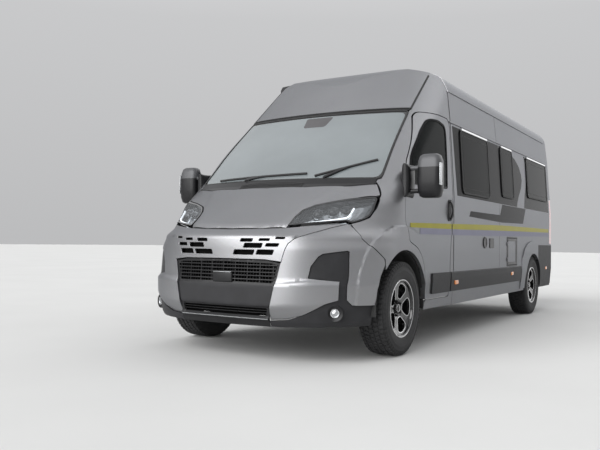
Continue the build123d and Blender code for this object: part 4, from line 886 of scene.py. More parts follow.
# ---- headlamps and fog lamps ----
LAMP = [(0.449, 0.974), (0.55, 0.986), (0.688, 1.000), (0.802, 1.013), (0.826, 0.998), (0.866, 1.016),
        (0.903, 1.044), (0.918, 1.10), (0.919, 1.182), (0.903, 1.200), (0.791, 1.185), (0.646, 1.161),
        (0.533, 1.130), (0.476, 1.088), (0.455, 1.045)]
lamp_loop = rounded(LAMP, 0.02, 3)
panel("lamp_covers", lamp_loop, by_front, [lamp_cover], replaces=["front_lamps"], slot="lamp", sides=(1, -1),
      step=0.02, thick=0.004, bevel=0)
panel("lamp_rims", lamp_loop, by_front, [gloss], sides=(1, -1), holes=[shrunk(lamp_loop, 0.009)], lift=0.0015,
      thick=0.03, step=0.02, bevel=0.001)
brow = [(0.50, 1.050), (0.56, 1.085), (0.66, 1.115), (0.78, 1.140), (0.86, 1.15), (0.88, 1.12), (0.85, 1.06),
        (0.80, 1.045), (0.70, 1.035), (0.60, 1.020)]
panel("lamp_housings", shrunk(lamp_loop, 0.002), by_front, [reflector, chrome], sides=(1, -1),
      regions=[rounded(brow, 0.02)], lift=-0.055, thick=0.004, step=0.02, bevel=0)
strips, bands, lenses, bezels = [], [], [], []
for side in (1, -1):
    led = rounded([(0.523, 0.994), (0.636, 1.008), (0.724, 1.022), (0.800, 1.040), (0.808, 1.080),
                   (0.814, 1.136)], 0.03)[4:-4]
    strips.append(bar(led, (0.013, 0.012), lift=-0.010, step=0.01, side=side))
    outer_band = rounded([(0.500, 0.984), (0.640, 0.998), (0.738, 1.010), (0.826, 1.030), (0.838, 1.080),
                          (0.842, 1.140)], 0.03)[4:-4]
    bands.append(bar(outer_band, (0.016, 0.004), lift=-0.022, step=0.01, side=side))
    for x, z, r in ((0.60, 1.067, 0.030), (0.69, 1.088, 0.030), (0.765, 1.098, 0.026)):
        spot, axis = (side * x, y_of(nose_d(x, z)), z), np.array((side * 0.35, -0.75, 0.25))
        axis /= np.linalg.norm(axis)
        ball = [(-0.035 + 0.022 * math.sin(a), r * math.cos(a))
                for a in np.linspace(0, math.pi / 2 - 0.02, 8)]
        lenses.append(lathe(ball + [(-0.05, 0.001), (-0.05, r)], spot, axis, 40))
        bezels.append(lathe([(-0.055, r + 0.001), (-0.03, r + 0.001), (-0.024, r + 0.007),
                             (-0.03, r + 0.010), (-0.055, r + 0.010)], spot, axis, 40))
add_piece("day_lights", *joined(strips), [white_led])
add_piece("lamp_bands", *joined(bands), [silver])
add_piece("lamp_lenses", *joined(lenses), [gloss])
add_piece("lamp_bezels", *joined(bezels), [reflector])
fogs, fog_rings, fog_cups = [], [], []
for side in (1, -1):
    spot = (side * FOG[0], y_of(0.236), FOG[1])
    axis = (side * 0.36, -0.93, 0)
    fogs.append(lathe([(0.001, 0.002), (-0.002, 0.015), (-0.008, 0.026), (-0.03, 0.026), (-0.03, 0.002)],
                      spot, axis, 48))
    fog_rings.append(lathe([(-0.006, 0.0265), (-0.001, 0.028), (-0.001, 0.0305), (-0.008, 0.0315),
                            (-0.02, 0.0315), (-0.02, 0.0265)], spot, axis, 48))
    fog_cups.append(lathe([(-0.010, 0.032), (-0.002, 0.056), (-0.010, 0.058), (-0.028, 0.055),
                           (-0.028, 0.032)], spot, axis, 48))
add_piece("fog_lenses", *joined(fogs), [reflector])
add_piece("fog_rings", *joined(fog_rings), [chrome])
add_piece("fog_cups", *joined(fog_cups), [satin])

# ---- roof cap edges, wipers ----
lines = [bar([(-0.812, 1.995), (0.812, 1.995)], (0.010, 0.008), lift=0.001, step=0.04),
         bar([(-0.815, 2.012), (0.815, 2.012)], (0.012, 0.008), lift=0.002, step=0.04)]
for side in (1, -1):
    edge = [(0.8165 - 0.014 * t, 2.006 + 0.38 * t) for t in np.linspace(0, 1, 8)]
    lines.append(bar(edge, (0.016, 0.007), lift=0.001, step=0.04, side=side))
add_piece("cap_gaskets", *joined(lines), [rubber])
# Each wiper: its blade's two ends and its pivot, as (x, z).
WIPERS = [((-0.630, 1.373), (0.270, 1.399), (-0.30, 1.359)), ((0.350, 1.375), (0.780, 1.509), (0.44, 1.361))]
blades, arms = [], []
for start, end, pivot in WIPERS:
    blades.append(bar([start, end], (0.018, 0.013), lift=0.0075, step=0.03))
    mid = np.array(start) + (np.array(end) - np.array(start)) * 0.58
    bend = (mid + np.array(pivot)) / 2 + (0, 0.004)
    p, n = surface_line([pivot, bend, mid], by_front, lift=0.011, step=0.04)
    arms.append(swept(p, n, rect(0.024, 0.009), scale=np.linspace(1.2, 0.7, len(p))))
    base, up = surface_line([pivot, (pivot[0] + 0.01, pivot[1])], by_front, lift=0, step=0.02)
    arms.append(lathe([(0, 0.001), (0.012, 0.001), (0.011, 0.014), (0, 0.016)], base[0], up[0], 24))
add_piece("wiper_blades", *joined(blades), [rubber], replaces=["wipers"], slot="dark_plastic")
add_piece("wiper_arms", *joined(arms), [satin])
patch_loop = rounded([(-0.10, 1.962), (0.17, 1.962), (0.14, 1.862), (-0.075, 1.862)], 0.02)
panel("mirror_sensor_patch", patch_loop, by_front, [frit], lift=0.0006, thick=0.001, step=0.03, bevel=0)

# ---- mirrors ----
# The mirror head's levels: height, inner and outer x, front and rear d.
SECTIONS = [(1.208, 1.135, 1.255, 1.000, 1.070), (1.220, 1.110, 1.275, 0.985, 1.082),
            (1.262, 1.098, 1.287, 0.972, 1.088), (1.330, 1.094, 1.290, 0.966, 1.090),
            (1.440, 1.096, 1.289, 0.966, 1.090), (1.490, 1.100, 1.284, 0.972, 1.087),
            (1.528, 1.112, 1.272, 0.984, 1.080), (1.542, 1.135, 1.250, 1.000, 1.068)]
for side, name in NAMES.items():
    body = f"door_{name}"
    verts, faces, index, count = [], [], [], 36
    for z, x0, x1, d0, d1 in SECTIONS:
        for k in range(count):
            a = 2 * math.pi * k / count
            c, s = math.cos(a), math.sin(a)
            power = 0.5 if s > 0 else 0.72
            x = (x0 + x1) / 2 + (x1 - x0) / 2 * math.copysign(abs(c) ** 0.5, c)
            d = (d0 + d1) / 2 + (d1 - d0) / 2 * math.copysign(abs(s) ** power, s)
            verts.append((side * x, y_of(d), z))
    for i in range(len(SECTIONS) - 1):
        for k in range(count):
            j = (k + 1) % count
            faces.append((i * count + k, i * count + j, (i + 1) * count + j, (i + 1) * count + k))
            front = math.sin(2 * math.pi * (k + 0.5) / count) < 0.75
            index.append(1 if front and SECTIONS[i][0] >= 1.44 else 0)
    top = (len(SECTIONS) - 1) * count
    faces += [tuple(reversed(range(count))), tuple(range(top, top + count))]
    index += [0, 1]
    if side < 0:
        faces = [f[::-1] for f in faces]
    # The cap's faces, index 1, take the grey that stands for the body paint in painted shade.
    add_piece(f"mirror_head_{name}", verts, faces, [satin, mirror_cap], index, body, [f"mirror_{name}"],
              "dark_plastic", sharp=60)
    made = joined([block((1.115, 1.088, bottom), (1.272, 1.0935, top), 0.012)
                   for bottom, top in ((1.334, 1.492), (1.244, 1.322))])
    add_piece(f"mirror_glasses_{name}", *on_side(made, side), [chrome], body=body)
    # The upper arm takes the same painted-shade grey as the cap.
    for z, tag, finish in ((1.262, "lower", satin), (1.440, "upper", mirror_cap)):
        path = [(1.022, y_of(1.012), z - 0.006), (1.055, y_of(1.014), z - 0.002), (1.085, y_of(1.022), z),
                (1.115, y_of(1.03), z)]
        made = swept(path, (0, 0, 1), rect(0.052, 0.036, 0.45, 4), scale=[1.15, 0.95, 0.95, 1.1])
        add_piece(f"mirror_arm_{tag}_{name}", *on_side(made, side), [finish], body=body)
    sail = [(0.968, 1.222), (1.095, 1.225), (1.100, 1.354), (1.128, 1.452), (1.088, 1.474), (1.052, 1.425),
            (0.988, 1.322)]
    panel(f"mirror_base_{name}", rounded(sail, 0.02), by_side, [satin], body=body, sides=(side,), lift=0.010,
          thick=0.012, step=0.03, bevel=0.004)
    mount = cushion((1.012, y_of(1.020), 1.342), (0, 1, 0), (0, 0, 1), (0.160, 0.262, 0.085), n=22)
    add_piece(f"mirror_mount_{name}", *on_side(mount, side), [satin], body=body)
    lens = block((1.2815, 0.980, 1.300), (1.2896, 1.025, 1.470), 0.003)
    add_piece(f"mirror_indicator_{name}", *on_side(lens, side), [reflector], body=body)

# ---- wheels ----
TYRE_PROFILE = [(-0.092, 0.2145), (-0.101, 0.224), (-0.1095, 0.250), (-0.1120, 0.285), (-0.1085, 0.318),
                (-0.1025, 0.338), (-0.090, 0.3515), (0, 0.3530), (0.090, 0.3515), (0.1025, 0.338),
                (0.1070, 0.322), (0.1095, 0.3215), (0.1100, 0.3165), (0.1085, 0.316), (0.1115, 0.290),
                (0.1124, 0.2885), (0.1124, 0.2815), (0.1112, 0.280), (0.1095, 0.250), (0.1045, 0.234),
                (0.1050, 0.2315), (0.1030, 0.2275), (0.101, 0.224), (0.092, 0.2145)]
PITCHES = 60
RIM_WINDOW = [(0.078, -0.026), (0.078, 0.026), (0.150, 0.072), (0.180, 0.052), (0.190, 0), (0.180, -0.052),
              (0.150, -0.072)]


def tread_block(angle, x0, x1, half, skew, low, high):
    """One block of the tread as a low frustum on the tyre's drum."""
    verts = []
    for r, pull in ((low, 0.0), (high, 0.0022)):
        for x, end in ((x0 + pull, 0), (x1 - pull, 1)):
            a = angle + (skew if end else -skew)
            for s in (-1, 1):
                t = a + s * (half - pull / 0.36)
                drop = 0.0045 * max(0.0, (abs(x) - 0.06) / 0.04)
                verts.append((x, (r - drop) * math.cos(t), (r - drop) * math.sin(t)))
    return verts, [(0, 1, 3, 2), (4, 6, 7, 5), (0, 4, 5, 1), (2, 3, 7, 6), (1, 5, 7, 3), (0, 2, 6, 4)]


blocks = []
for k in range(PITCHES):
    a = 2 * math.pi * k / PITCHES
    step_a = math.pi / PITCHES
    for x0, x1, shift, skew in ((-0.098, -0.066, 0, 0.006), (-0.058, -0.024, 1, 0.012),
                                (-0.016, 0.016, 0, 0.0), (0.024, 0.058, 1, -0.012),
                                (0.066, 0.098, 0, -0.006)):
        blocks.append(tread_block(a + shift * step_a, x0, x1, step_a * 0.78, skew, 0.348, 0.3598))
    for flank in (-1, 1):
        lug = []
        for r, x, half in ((0.345, 0.099, 0.6), (0.322, 0.1075, 0.42)):
            for s in (-1, 1):
                for out in (0, 0.0032):
                    t = a + s * step_a * half
                    lug.append((flank * (x + out), r * math.cos(t), r * math.sin(t)))
        blocks.append((lug, [(0, 1, 3, 2), (4, 6, 7, 5), (1, 5, 7, 3), (0, 2, 6, 4), (0, 4, 5, 1),
                             (2, 3, 7, 6)]))


def on_axle(profile, steps, spot=(0, 0, 0)):
    """A part of the wheel, turned from a profile of (x from the wheel's middle, radius)."""
    return lathe(profile, spot, (1, 0, 0), steps)


tyre_shape = joined([on_axle(TYRE_PROFILE, 96)] + blocks)


def rim_depth(r):
    return np.interp(r, (0, 0.045, 0.075, 0.12, 0.18, 0.20), (0.050, 0.052, 0.062, 0.068, 0.078, 0.084))


def turned(loop, angle):
    c, s = math.cos(angle), math.sin(angle)
    return [(x * c - y * s, x * s + y * c) for x, y in loop]


windows = [rounded(turned(RIM_WINDOW, 2 * math.pi * k / 5), 0.014) for k in range(5)]
edges = [shrunk(w, -0.0045) for w in windows]
disc_edge = circle(96, 0.204)


def place_wheel(part, d, side):
    """A wheel part moved to its axle, mirrored on the right."""
    verts, faces = part
    out = [(side * (HUB_X + v[0]), y_of(d) + v[1], HUB_Z + v[2]) for v in verts]
    return out, (faces if side > 0 else [tuple(reversed(f)) for f in faces])


bolts = []
for k in range(5):
    a = 2 * math.pi * k / 5 + math.pi / 5
    bolts.append(on_axle([(0.045, 0.001), (0.072, 0.001), (0.074, 0.006), (0.072, 0.0095), (0.060, 0.0105),
                          (0.045, 0.0105)], 6, (0, 0.056 * math.cos(a), 0.056 * math.sin(a))))
cap = on_axle([(0.045, 0.001), (0.071, 0.001), (0.070, 0.018), (0.067, 0.026), (0.058, 0.029),
               (0.045, 0.029)], 40)
ring = on_axle([(0.066, 0.0255), (0.0705, 0.027), (0.0705, 0.030), (0.062, 0.0315)], 40)
barrel = on_axle([(0.102, 0.222), (0.1025, 0.216), (0.097, 0.2085), (0.084, 0.2045), (0.062, 0.1985),
                  (-0.088, 0.2005), (-0.102, 0.208), (-0.102, 0.222), (-0.0925, 0.222), (-0.0925, 0.214),
                  (0.0925, 0.214), (0.0925, 0.222)], 96)
lip = on_axle([(0.1005, 0.2225), (0.1032, 0.2205), (0.1032, 0.2165), (0.1015, 0.2150)], 96)
disc = on_axle([(-0.061, 0.07), (-0.061, 0.14), (-0.068, 0.14), (-0.068, 0.136), (-0.078, 0.136),
                (-0.078, 0.14), (-0.085, 0.14), (-0.085, 0.07)], 64)
hub = on_axle([(-0.085, 0.001), (0.045, 0.001), (0.045, 0.068), (-0.02, 0.072), (-0.061, 0.078),
               (-0.085, 0.078)], 48)
for end, d in AXLES.items():
    for side, name in NAMES.items():
        body, tag = f"wheel_{end}_{name}", f"{end}_{name}"
        add_piece(f"road_tyre_{tag}", *place_wheel(tyre_shape, d, side), [tread], body=body,
                  replaces=[f"tyre_{tag}"], slot="tyre", sharp=28)

        def face(u, v):
            return np.stack((HUB_X + rim_depth(np.hypot(u, v)), d + u, HUB_Z + v), 1)

        panel(f"rim_face_{tag}", disc_edge, face, [alloy] + [silver] * 5, body=body, replaces=[f"rim_{tag}"],
              slot="alloy", sides=(side,), holes=windows, regions=edges, step=0.012, thick=0.026,
              dish=np.array((1.0, 0, 0)), bevel=0.0015)
        for part, shape, mat, sharp in (("rim_barrel", joined([barrel, hub]), alloy, 32),
                                        ("rim_lip", joined([lip, ring]), silver, 32),
                                        ("rim_cap", joined([cap] + bolts), satin, 40),
                                        ("brake_disc", disc, steel, 32)):
            add_piece(f"{part}_{tag}", *place_wheel(shape, d, side), [mat], body=body, sharp=sharp)

# ---- arch liners ----
liners = []
ups = [(0, math.cos(a), math.sin(a)) for a in np.linspace(math.radians(-4), math.radians(184), 60)]
for d, r in zip(AXLES.values(), (0.445, 0.390)):
    for side in (1, -1):
        arc = [(side * 0.955, y_of(d) + r * c, HUB_Z + r * s) for _, c, s in ups]
        liners.append(swept(arc, ups, rect(0.082, 0.003)))
add_piece("arch_liners", *joined(liners), [rubber])

# ---- film, stripes and fittings on the body sides ----
FILM_FRONT = [(2.100, 1.935), (3.960, 1.938), (4.021, 1.905), (4.250, 1.850), (4.405, 1.779), (4.480, 1.700),
              (4.496, 1.626), (4.440, 1.530), (4.328, 1.438), (4.235, 1.345), (4.213, 1.300), (2.142, 1.300)]
FILM_REAR = [(4.630, 1.938), (4.720, 1.860), (4.756, 1.781), (4.740, 1.680), (4.675, 1.575), (4.600, 1.450),
             (4.547, 1.300), (5.840, 1.300), (5.840, 1.940)]
WEDGE = [(2.486, 1.122), (2.526, 1.175), (3.521, 1.177), (3.600, 1.294), (4.607, 1.294), (4.485, 1.111),
         (3.574, 1.099)]
# The lime stripe lies between STRIPE_LOW and STRIPE_HIGH, the lilac band between BAND_LOW and STRIPE_LOW.
STRIPE_LOW = [(1.0, 0.983), (2.07, 0.991), (3.52, 1.010), (5.84, 1.031)]
STRIPE_HIGH = [(1.0, 1.018), (2.07, 1.040), (3.52, 1.068), (5.84, 1.078)]
BAND_LOW = [(1.0, 0.932), (1.22, 0.934), (2.78, 0.942), (5.84, 0.977)]


def between(low, high, start, end):
    """The band between two lines, from one distance to another."""
    ds = np.linspace(start, end, 8)
    bottom, top = (np.interp(ds, *np.array(line).T) for line in (low, high))
    return list(zip(ds, bottom)) + list(zip(ds, top))[::-1]


def clipped(loop, low, high):
    """The loop pulled in to lie between two distances."""
    return [(min(max(d, low), high), z) for d, z in resample(loop, 0.04) if low - 0.05 < d < high + 0.05]


for side, name in NAMES.items():
    # On the right the film and the stripes are cut at the sliding door's edges.
    cuts = [(2.05, 5.9)] if side > 0 else [(2.12, 3.43), (3.45, 5.9)]
    for k, loop in enumerate((FILM_FRONT, FILM_REAR, WEDGE)):
        for j, (low, high) in enumerate(cuts):
            part = clipped(loop, low, high) if side < 0 else loop
            if len(part) > 3 and np.ptp([p[0] for p in part]) > 0.05:
                panel(f"film_{name}_{k}_{j}", part, by_side, [film], sides=(side,), lift=0.0008, thick=0.001,
                      step=0.08, bevel=0)
    spans = [("side", 2.018, 5.84)] if side > 0 else [("slide", 2.12, 3.43), ("side", 3.45, 5.84)]
    for tag, start, end in [("door", 1.060, 1.996)] + spans:
        body = f"door_{name}" if tag == "door" else "chassis"
        relief = door_relief if tag == "door" else None
        for kind, mat, low, high, first in (("stripe", lime, STRIPE_LOW, STRIPE_HIGH, start),
                                            ("band", lilac, BAND_LOW, STRIPE_LOW, max(start, 1.26))):
            panel(f"{kind}_{tag}_{name}", between(low, high, first, end), by_side, [mat], body=body,
                  sides=(side,), lift=0.0009, thick=0.0012, bump=relief, step=0.06, bevel=0)

# Each side window's front and rear d, then its lower and upper edge.
WINDOWS = {1: [(2.29, 3.14, 1.33, 1.93), (3.60, 4.08, 1.38, 1.93), (4.72, 5.76, 1.44, 1.93)],
           -1: [(2.38, 3.18, 1.34, 1.93), (3.70, 4.35, 1.38, 1.93), (4.72, 5.76, 1.44, 1.93)]}
rails, frames, drips, seams, marks = [], [], [], [], []
for side in (1, -1):
    for d0, d1, z0, z1 in WINDOWS[side]:
        box = rounded(oblong(d0 + 0.004, z0 + 0.004, d1 - 0.004, z1 - 0.004), 0.06, 6)
        frames.append(bar(box, (0.016, 0.007), by_side, 0.009, 0.05, side, closed=True))
        frames.append(bar(shrunk(box, 0.05), (0.004, 0.0012), by_side, 0.0092, 0.05, side, closed=True))
        # Each window's top rail is machined silver: a painted highlight along a hinge rail that is dark.
        rails.append(bar([(d0 + 0.03, z1 + 0.004), (d1 - 0.03, z1 + 0.004)], (0.020, 0.014), by_side, 0.010,
                         0.1, side))
    for start, z, width, lift in ((2.03, 1.962, 0.015, 0.003), (2.062, 2.250, 0.014, 0.002)):
        drips.append(bar([(start, z), (5.80, z)], (width, 0.010), by_side, lift, 0.1, side))
    for d in (2.058, 3.50 if side > 0 else 5.30):
        seams.append(bar([(d, 0.62), (d, 2.24)], (0.0045, 0.0016), by_side, -0.0002, 0.05, side))
    for d, z, out in ((2.094, 0.514, 1.0335), (3.968, 0.535, 1.0335), (5.651, 0.558, 1.030)):
        marks.append(on_side(block((out - 0.006, d - 0.045, z - 0.018), (out + 0.005, d + 0.045, z + 0.018),
                                   0.004), side))
# The silver rails are painted highlights along the windows' dark hinge rails.
add_piece("window_rails", *joined(rails), [silver])
add_piece("window_frames", *joined(frames), [rubber])
add_piece("drip_rails", *joined(drips), [paint])
add_piece("body_seams", *joined(seams), [rubber])
add_piece("side_markers", *joined(marks), [amber])

filler = lathe([(0.0, 0.001), (0.005, 0.001), (0.006, 0.045), (0.009, 0.047), (0.009, 0.056), (0.004, 0.060),
                (0, 0.060)], (1.020, y_of(2.978), 0.877), (1, 0, 0), 48)
add_piece("filler_cap", *filler, [satin])
flap = rounded(oblong(3.140, 0.820, 3.285, 0.923), 0.015)
panel("socket_flap", flap, by_side, [satin], lift=0.006, thick=0.007, step=0.04, bevel=0.003)
outer_frame = rounded(oblong(3.792, 0.617, 4.218, 0.948), 0.02)
panel("cassette_frame", outer_frame, by_side, [satin], holes=[shrunk(outer_frame, 0.0105)], lift=0.003,
      thick=0.012, step=0.04, bevel=0.001)
panel("cassette_rim", shrunk(outer_frame, 0.018), by_side, [satin], body="service_hatch",
      holes=[shrunk(outer_frame, 0.05)], lift=0.003, thick=0.004, step=0.04, bevel=0.001)


def pull_handle(side, d, foot):
    """A handle that stands off the body's side at a distance d."""
    zs = np.linspace(1.075, 1.235, 9)
    xs = half_width(zs) + foot + 0.024 * np.sin(np.linspace(0, math.pi, 9)) ** 0.6
    return swept([(side * x, y_of(d), z) for x, z in zip(xs, zs)], (side, 0, 0), rect(0.034, 0.014, 0.45, 4))


for side, name in NAMES.items():
    pad = rounded([(1.905, 1.060), (1.985, 1.060), (1.992, 1.250), (1.912, 1.250)], 0.02)
    panel(f"handle_recess_{name}", pad, by_side, [plastic], body=f"door_{name}", sides=(side,), lift=0.002,
          thick=0.004, step=0.03, bevel=0.001)
    add_piece(f"door_grip_{name}", *pull_handle(side, 1.948, 0.006), [satin], body=f"door_{name}")
add_piece("slide_grip", *pull_handle(-1, 2.20, 0.004), [satin])

# ---- seats and bed ----
SEAT_X = 0.42
seat_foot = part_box("cab_seats")[0][2]
for side, name in NAMES.items():
    c = side * SEAT_X
    stand = block((c - 0.20, 1.535, seat_foot + 0.001), (c + 0.20, 1.870, 0.872), 0.02)
    bolster = block((c - 0.225, 1.50, 0.862), (c + 0.225, 1.91, 0.905), 0.02)
    add_piece(f"seat_stand_{name}", *joined([stand, bolster]), [plastic],
              replaces=["cab_seats"] if side > 0 else (), slot=slot_of["cab_seats"] if side > 0 else None)
    pads = [("seat_squab", (c, y_of(1.690), 0.950), (0, 1, -0.09), (0.455, 0.415, 0.125), (-0.35, 0.3)),
            ("seat_back", (c, y_of(1.945), 1.305), (0, 0.14, 1), (0.455, 0.610, 0.125), (-0.5, -0.1, 0.35)),
            ("head_pad", (c, y_of(2.008), 1.712), (0, 0.10, 1), (0.255, 0.200, 0.075), ())]
    for tag, centre, up, size, grooves in pads:
        pad = add_piece(f"{tag}_{name}", *cushion(centre, (1, 0, 0), up, size, grooves=grooves), [fabric])
    posts = [swept([(x, y_of(1.990), 1.58), (x, y_of(2.004), 1.66)], (0, 1, 0), rect(0.012, 0.012, 0.45))
             for x in (c - 0.05, c + 0.05)]
    add_piece(f"head_posts_{name}", *joined(posts), [steel])
bed_low, bed_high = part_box("mattress")
bed_middle = (np.array(bed_low) + np.array(bed_high)) / 2
bed_size = [b - a - 0.006 for a, b in zip(bed_low, bed_high)]
bed = cushion(bed_middle, (1, 0, 0), (0, 1, 0), bed_size, crown=0.08, grooves=(-0.33, 0.33), n=46, back=0.98)
add_piece("bed_pad", *bed, [sheet_cloth], replaces=["mattress"], slot=slot_of["mattress"])

# ---- cab fittings ----
lean = math.radians(55)
wheel_centre = np.array((SEAT_X, y_of(1.370), 1.165))
wheel_axis = np.array((0, math.cos(lean), math.sin(lean)))
rim_ring = lathe(circle(16, 0.0125, centre=(0, 0.1765)), wheel_centre, wheel_axis, 72)
boss = lathe([(-0.028, 0.001), (-0.028, 0.046), (-0.008, 0.054), (0.004, 0.050), (0.009, 0.036),
              (0.010, 0.001)], wheel_centre, wheel_axis, 48)
across, below = np.array((1.0, 0, 0)), np.cross(wheel_axis, (1.0, 0, 0))
if below[2] > 0:
    below = -below
spokes = [swept([wheel_centre + direction * r for r in (0.03, 0.08, 0.13, 0.172)], wheel_axis,
                rect(0.032, 0.013, 0.45, 4), scale=[1.2, 0.95, 0.85, 1.0])
          for direction in (across, -across, below)]
add_piece("steering_rim", *joined([rim_ring, boss] + spokes), [satin], body="steering",
          replaces=["steering_wheel"], slot=slot_of["steering_wheel"])
hood = block((0.235, 1.055, 1.262), (0.605, 1.165, 1.302), 0.018)
screen_block = block((-0.125, 1.150, 1.165), (0.125, 1.185, 1.290), 0.010)
vents = [block((x - 0.055, 1.155, 1.200), (x + 0.055, 1.178, 1.250), 0.008)
         for x in (-0.70, -0.22, 0.20, 0.70)]
add_piece("dash_hood", *joined([hood, screen_block]), [satin])
add_piece("dash_vents", *joined(vents), [gloss])
slats = [bar([(-0.30, d), (0.30, d)], (0.007, 0.004), by_plan, 0.0015, 0.04)
         for d in np.linspace(0.594, 0.638, 4)]
add_piece("cowl_slats", *joined(slats), [rubber])

# ---- roof fittings ----
cover = rounded([(-0.742, 2.440), (-0.800, 2.434), (-0.862, 2.411), (-0.893, 2.402), (-0.896, 2.450),
                 (-0.872, 2.485), (-0.764, 2.492), (-0.743, 2.480)], 0.010)
feet = [block((-0.792, d - 0.06, 2.4305), (-0.770, d + 0.06, 2.452), 0.003) for d in (2.25, 3.80, 5.40)]
cassette = swept([(0, y_of(2.112), 0), (0, y_of(5.538), 0)], (0, 0, 1), cover)
add_piece("awning_cover", *joined([cassette] + feet), [reflector], replaces=["awning_cassette"],
          slot=slot_of["awning_cassette"], bevel=0.002)
caps = [swept([(0, y_of(a), 0), (0, y_of(b), 0)], (0, 0, 1), cover)
        for a, b in ((2.092, 2.1115), (5.5385, 5.558))]
add_piece("awning_end_caps", *joined(caps), [plastic], bevel=0.003)
lid_frames, lids = [], []
for d, half in ((2.75, 0.35), (4.25, 0.20)):
    lid_frames.append(block((-half, d - 0.25, 2.5205), (half, d + 0.25, 2.5400), 0.012))
    lids.append(cushion((0, y_of(d), 2.5405), (1, 0, 0), (0, 1, 0), (2 * half - 0.05, 0.45, 0.045),
                        crown=0.5, back=0.2, n=26))
add_piece("rooflight_frames", *joined(lid_frames), [satin], replaces=["rooflights"],
          slot=slot_of["rooflights"])
add_piece("rooflight_domes", *joined(lids), [dark_glass])


# ---- rear end ----
def by_rear(u, v):
    """The rear doors' face, which leans forwards above the waist."""
    back = LENGTH - 0.013 - 0.047 * np.maximum(0, v - 1.1) / 1.13
    return np.stack((u, back * np.ones(len(u)), v), 1)


for side, name in NAMES.items():
    body = f"back_door_{name}"
    glass_edge = rounded(oblong(side * 0.137, 1.347, side * 0.768, 1.943), 0.055, 6)
    gasket = bar(glass_edge, (0.012, 0.006), by_rear, 0.0012, 0.04, closed=True)
    add_piece(f"rear_window_seal_{name}", *gasket, [rubber], body=body)
    ribs = [bar([(side * 0.10, z), (side * 0.80, z)], (0.010, 0.006), by_rear, step=0.1)
            for z in (0.72, 1.22)]
    add_piece(f"rear_door_ribs_{name}", *joined(ribs), [paint], body=body)
for name, low, high, radius, mat, body in (
        ("blank_plate", (0.19, 5.983, 0.930), (0.71, 5.9895, 1.042), 0.003, reflector, "back_door_left"),
        ("plate_holder", (0.18, 5.980, 0.920), (0.72, 5.9865, 1.052), 0.003, satin, "back_door_left"),
        ("plate_lamp_bar", (0.20, 5.976, 1.078), (0.70, 5.996, 1.112), 0.008, satin, "back_door_left"),
        ("rear_handle", (-0.085, 5.978, 1.085), (-0.025, 5.9965, 1.245), 0.010, satin, "back_door_right"),
        ("high_stop_lamp", (-0.16, 5.926, 2.216), (0.16, 5.944, 2.240), 0.006, lamp_red, "chassis")):
    add_piece(name, *block(low, high, radius), [mat], body=body)
for side, name in NAMES.items():
    for tag, z0, z1, mat in (("tail_white", 0.905, 1.000, reflector), ("tail_amber", 1.010, 1.090, amber)):
        box = block((0.932, 5.970, z0), (0.982, 5.9895, z1), 0.006)
        add_piece(f"{tag}_{name}", *on_side(box, side), [mat])
add_piece("step_pad", *block((-0.62, 5.952, 0.5805), (0.62, 5.9935, 0.588), 0.003), [rubber])


# ---- camera, light and floor ----
def camera():
    """The photo's camera, as solved: its turn, pitch and roll, its focal length and its place."""
    a, p, r = math.radians(31.829), math.radians(1.432), math.radians(0.759)
    forward = Vector((-math.sin(a) * math.cos(p), math.cos(a) * math.cos(p), math.sin(p)))
    right = Vector((math.cos(a), math.sin(a), 0))
    up = right.cross(forward)
    x_axis = right * math.cos(r) + up * math.sin(r)
    y_axis = -right * math.sin(r) + up * math.cos(r)
    data = bpy.data.cameras.new("camera")
    data.sensor_width = 36
    data.lens = 36 * 697.07 / 600
    cam = bpy.data.objects.new("camera", data)
    bpy.context.scene.collection.objects.link(cam)
    turn = Matrix((x_axis, y_axis, -forward)).transposed().to_4x4()
    cam.matrix_world = Matrix.Translation((3.151, -7.005, 0.854)) @ turn
    bpy.context.scene.camera = cam


def soft_sun(name, toward, strength, spread):
    """A wide soft light that falls evenly everywhere, from the direction given."""
    data = bpy.data.lights.new(name, "SUN")
    data.energy, data.angle = strength, math.radians(spread)
    o = bpy.data.objects.new(name, data)
    bpy.context.scene.collection.objects.link(o)
    o.location = Vector(toward) * 10
    o.rotation_mode = "QUATERNION"
    o.rotation_quaternion = (-Vector(toward)).to_track_quat("-Z", "Y")


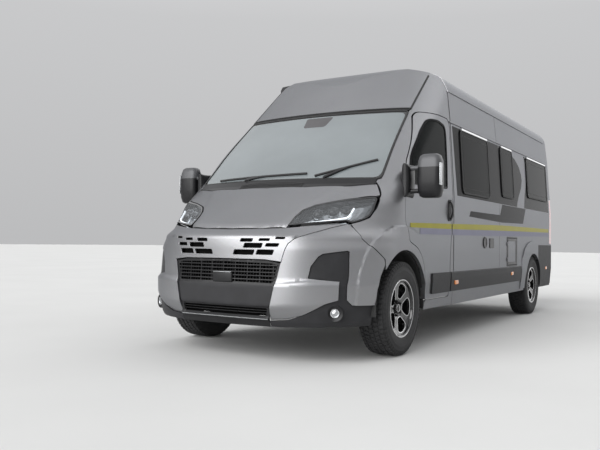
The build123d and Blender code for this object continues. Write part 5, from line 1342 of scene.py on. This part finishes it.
camera()
soft_sun("key", (-0.25, -0.88, 0.46), 3.3, 60)
soft_sun("fill", (0.25, 0.80, 0.55), 0.8, 70)
floor_mat = material("floor", (0.70, 0.70, 0.69), 0.02, (0.75, 0.85), mottle=0.6, grain=0.05)
floor = bpy.data.meshes.new("floor")
floor.from_pydata([(-90, -90, 0), (90, -90, 0), (90, 90, 0), (-90, 90, 0)], [], [(0, 1, 2, 3)])
floor.materials.append(floor_mat)
ground = bpy.data.objects.new("floor", floor)
bpy.context.scene.collection.objects.link(ground)
world = bpy.data.worlds.new("studio")
bpy.context.scene.world = world
world.use_nodes = True
sky = world.node_tree.nodes["Background"]
sky.inputs["Strength"].default_value = 1.0
studio = world.node_tree
# The backdrop grows lighter upwards. It shows to the camera, in mirrors and through glass; the light it
# gives to the surfaces is an even grey.
direction = add_node(studio, "TexCoord").outputs["Generated"]
parts = add_node(studio, "SeparateXYZ", {0: direction})
height = add_node(studio, "MapRange", {"Value": parts.outputs["Z"]}, From_Min=-0.2, From_Max=1.0)
fade = add_node(studio, "ValToRGB", {"Fac": height.outputs["Result"]})
fade.color_ramp.elements[0].color = (0.56, 0.565, 0.575, 1)
fade.color_ramp.elements[1].color = (0.97, 0.98, 1.0, 1)
for spot, level in ((0.16, 0.50), (0.42, 0.58), (0.66, 0.92)):
    fade.color_ramp.elements.new(spot).color = (level, level * 1.005, level * 1.02, 1)
seen_by = add_node(studio, "LightPath").outputs
mirrored_too = add_node(studio, "Math", {0: seen_by["Is Glossy Ray"], 1: seen_by["Is Transmission Ray"]})
shown = add_node(studio, "Math", {0: seen_by["Is Camera Ray"], 1: mirrored_too.outputs[0]})
mirrored_too.operation = shown.operation = "MAXIMUM"
backdrop = studio.nodes.new("ShaderNodeMix")
backdrop.data_type = "RGBA"
backdrop.inputs[6].default_value = (0.48, 0.485, 0.495, 1)
for source, target in ((shown.outputs[0], backdrop.inputs[0]), (fade.outputs["Color"], backdrop.inputs[7]),
                       (backdrop.outputs[2], sky.inputs["Color"])):
    studio.links.new(source, target)
bpy.context.scene.view_settings.view_transform = "Standard"
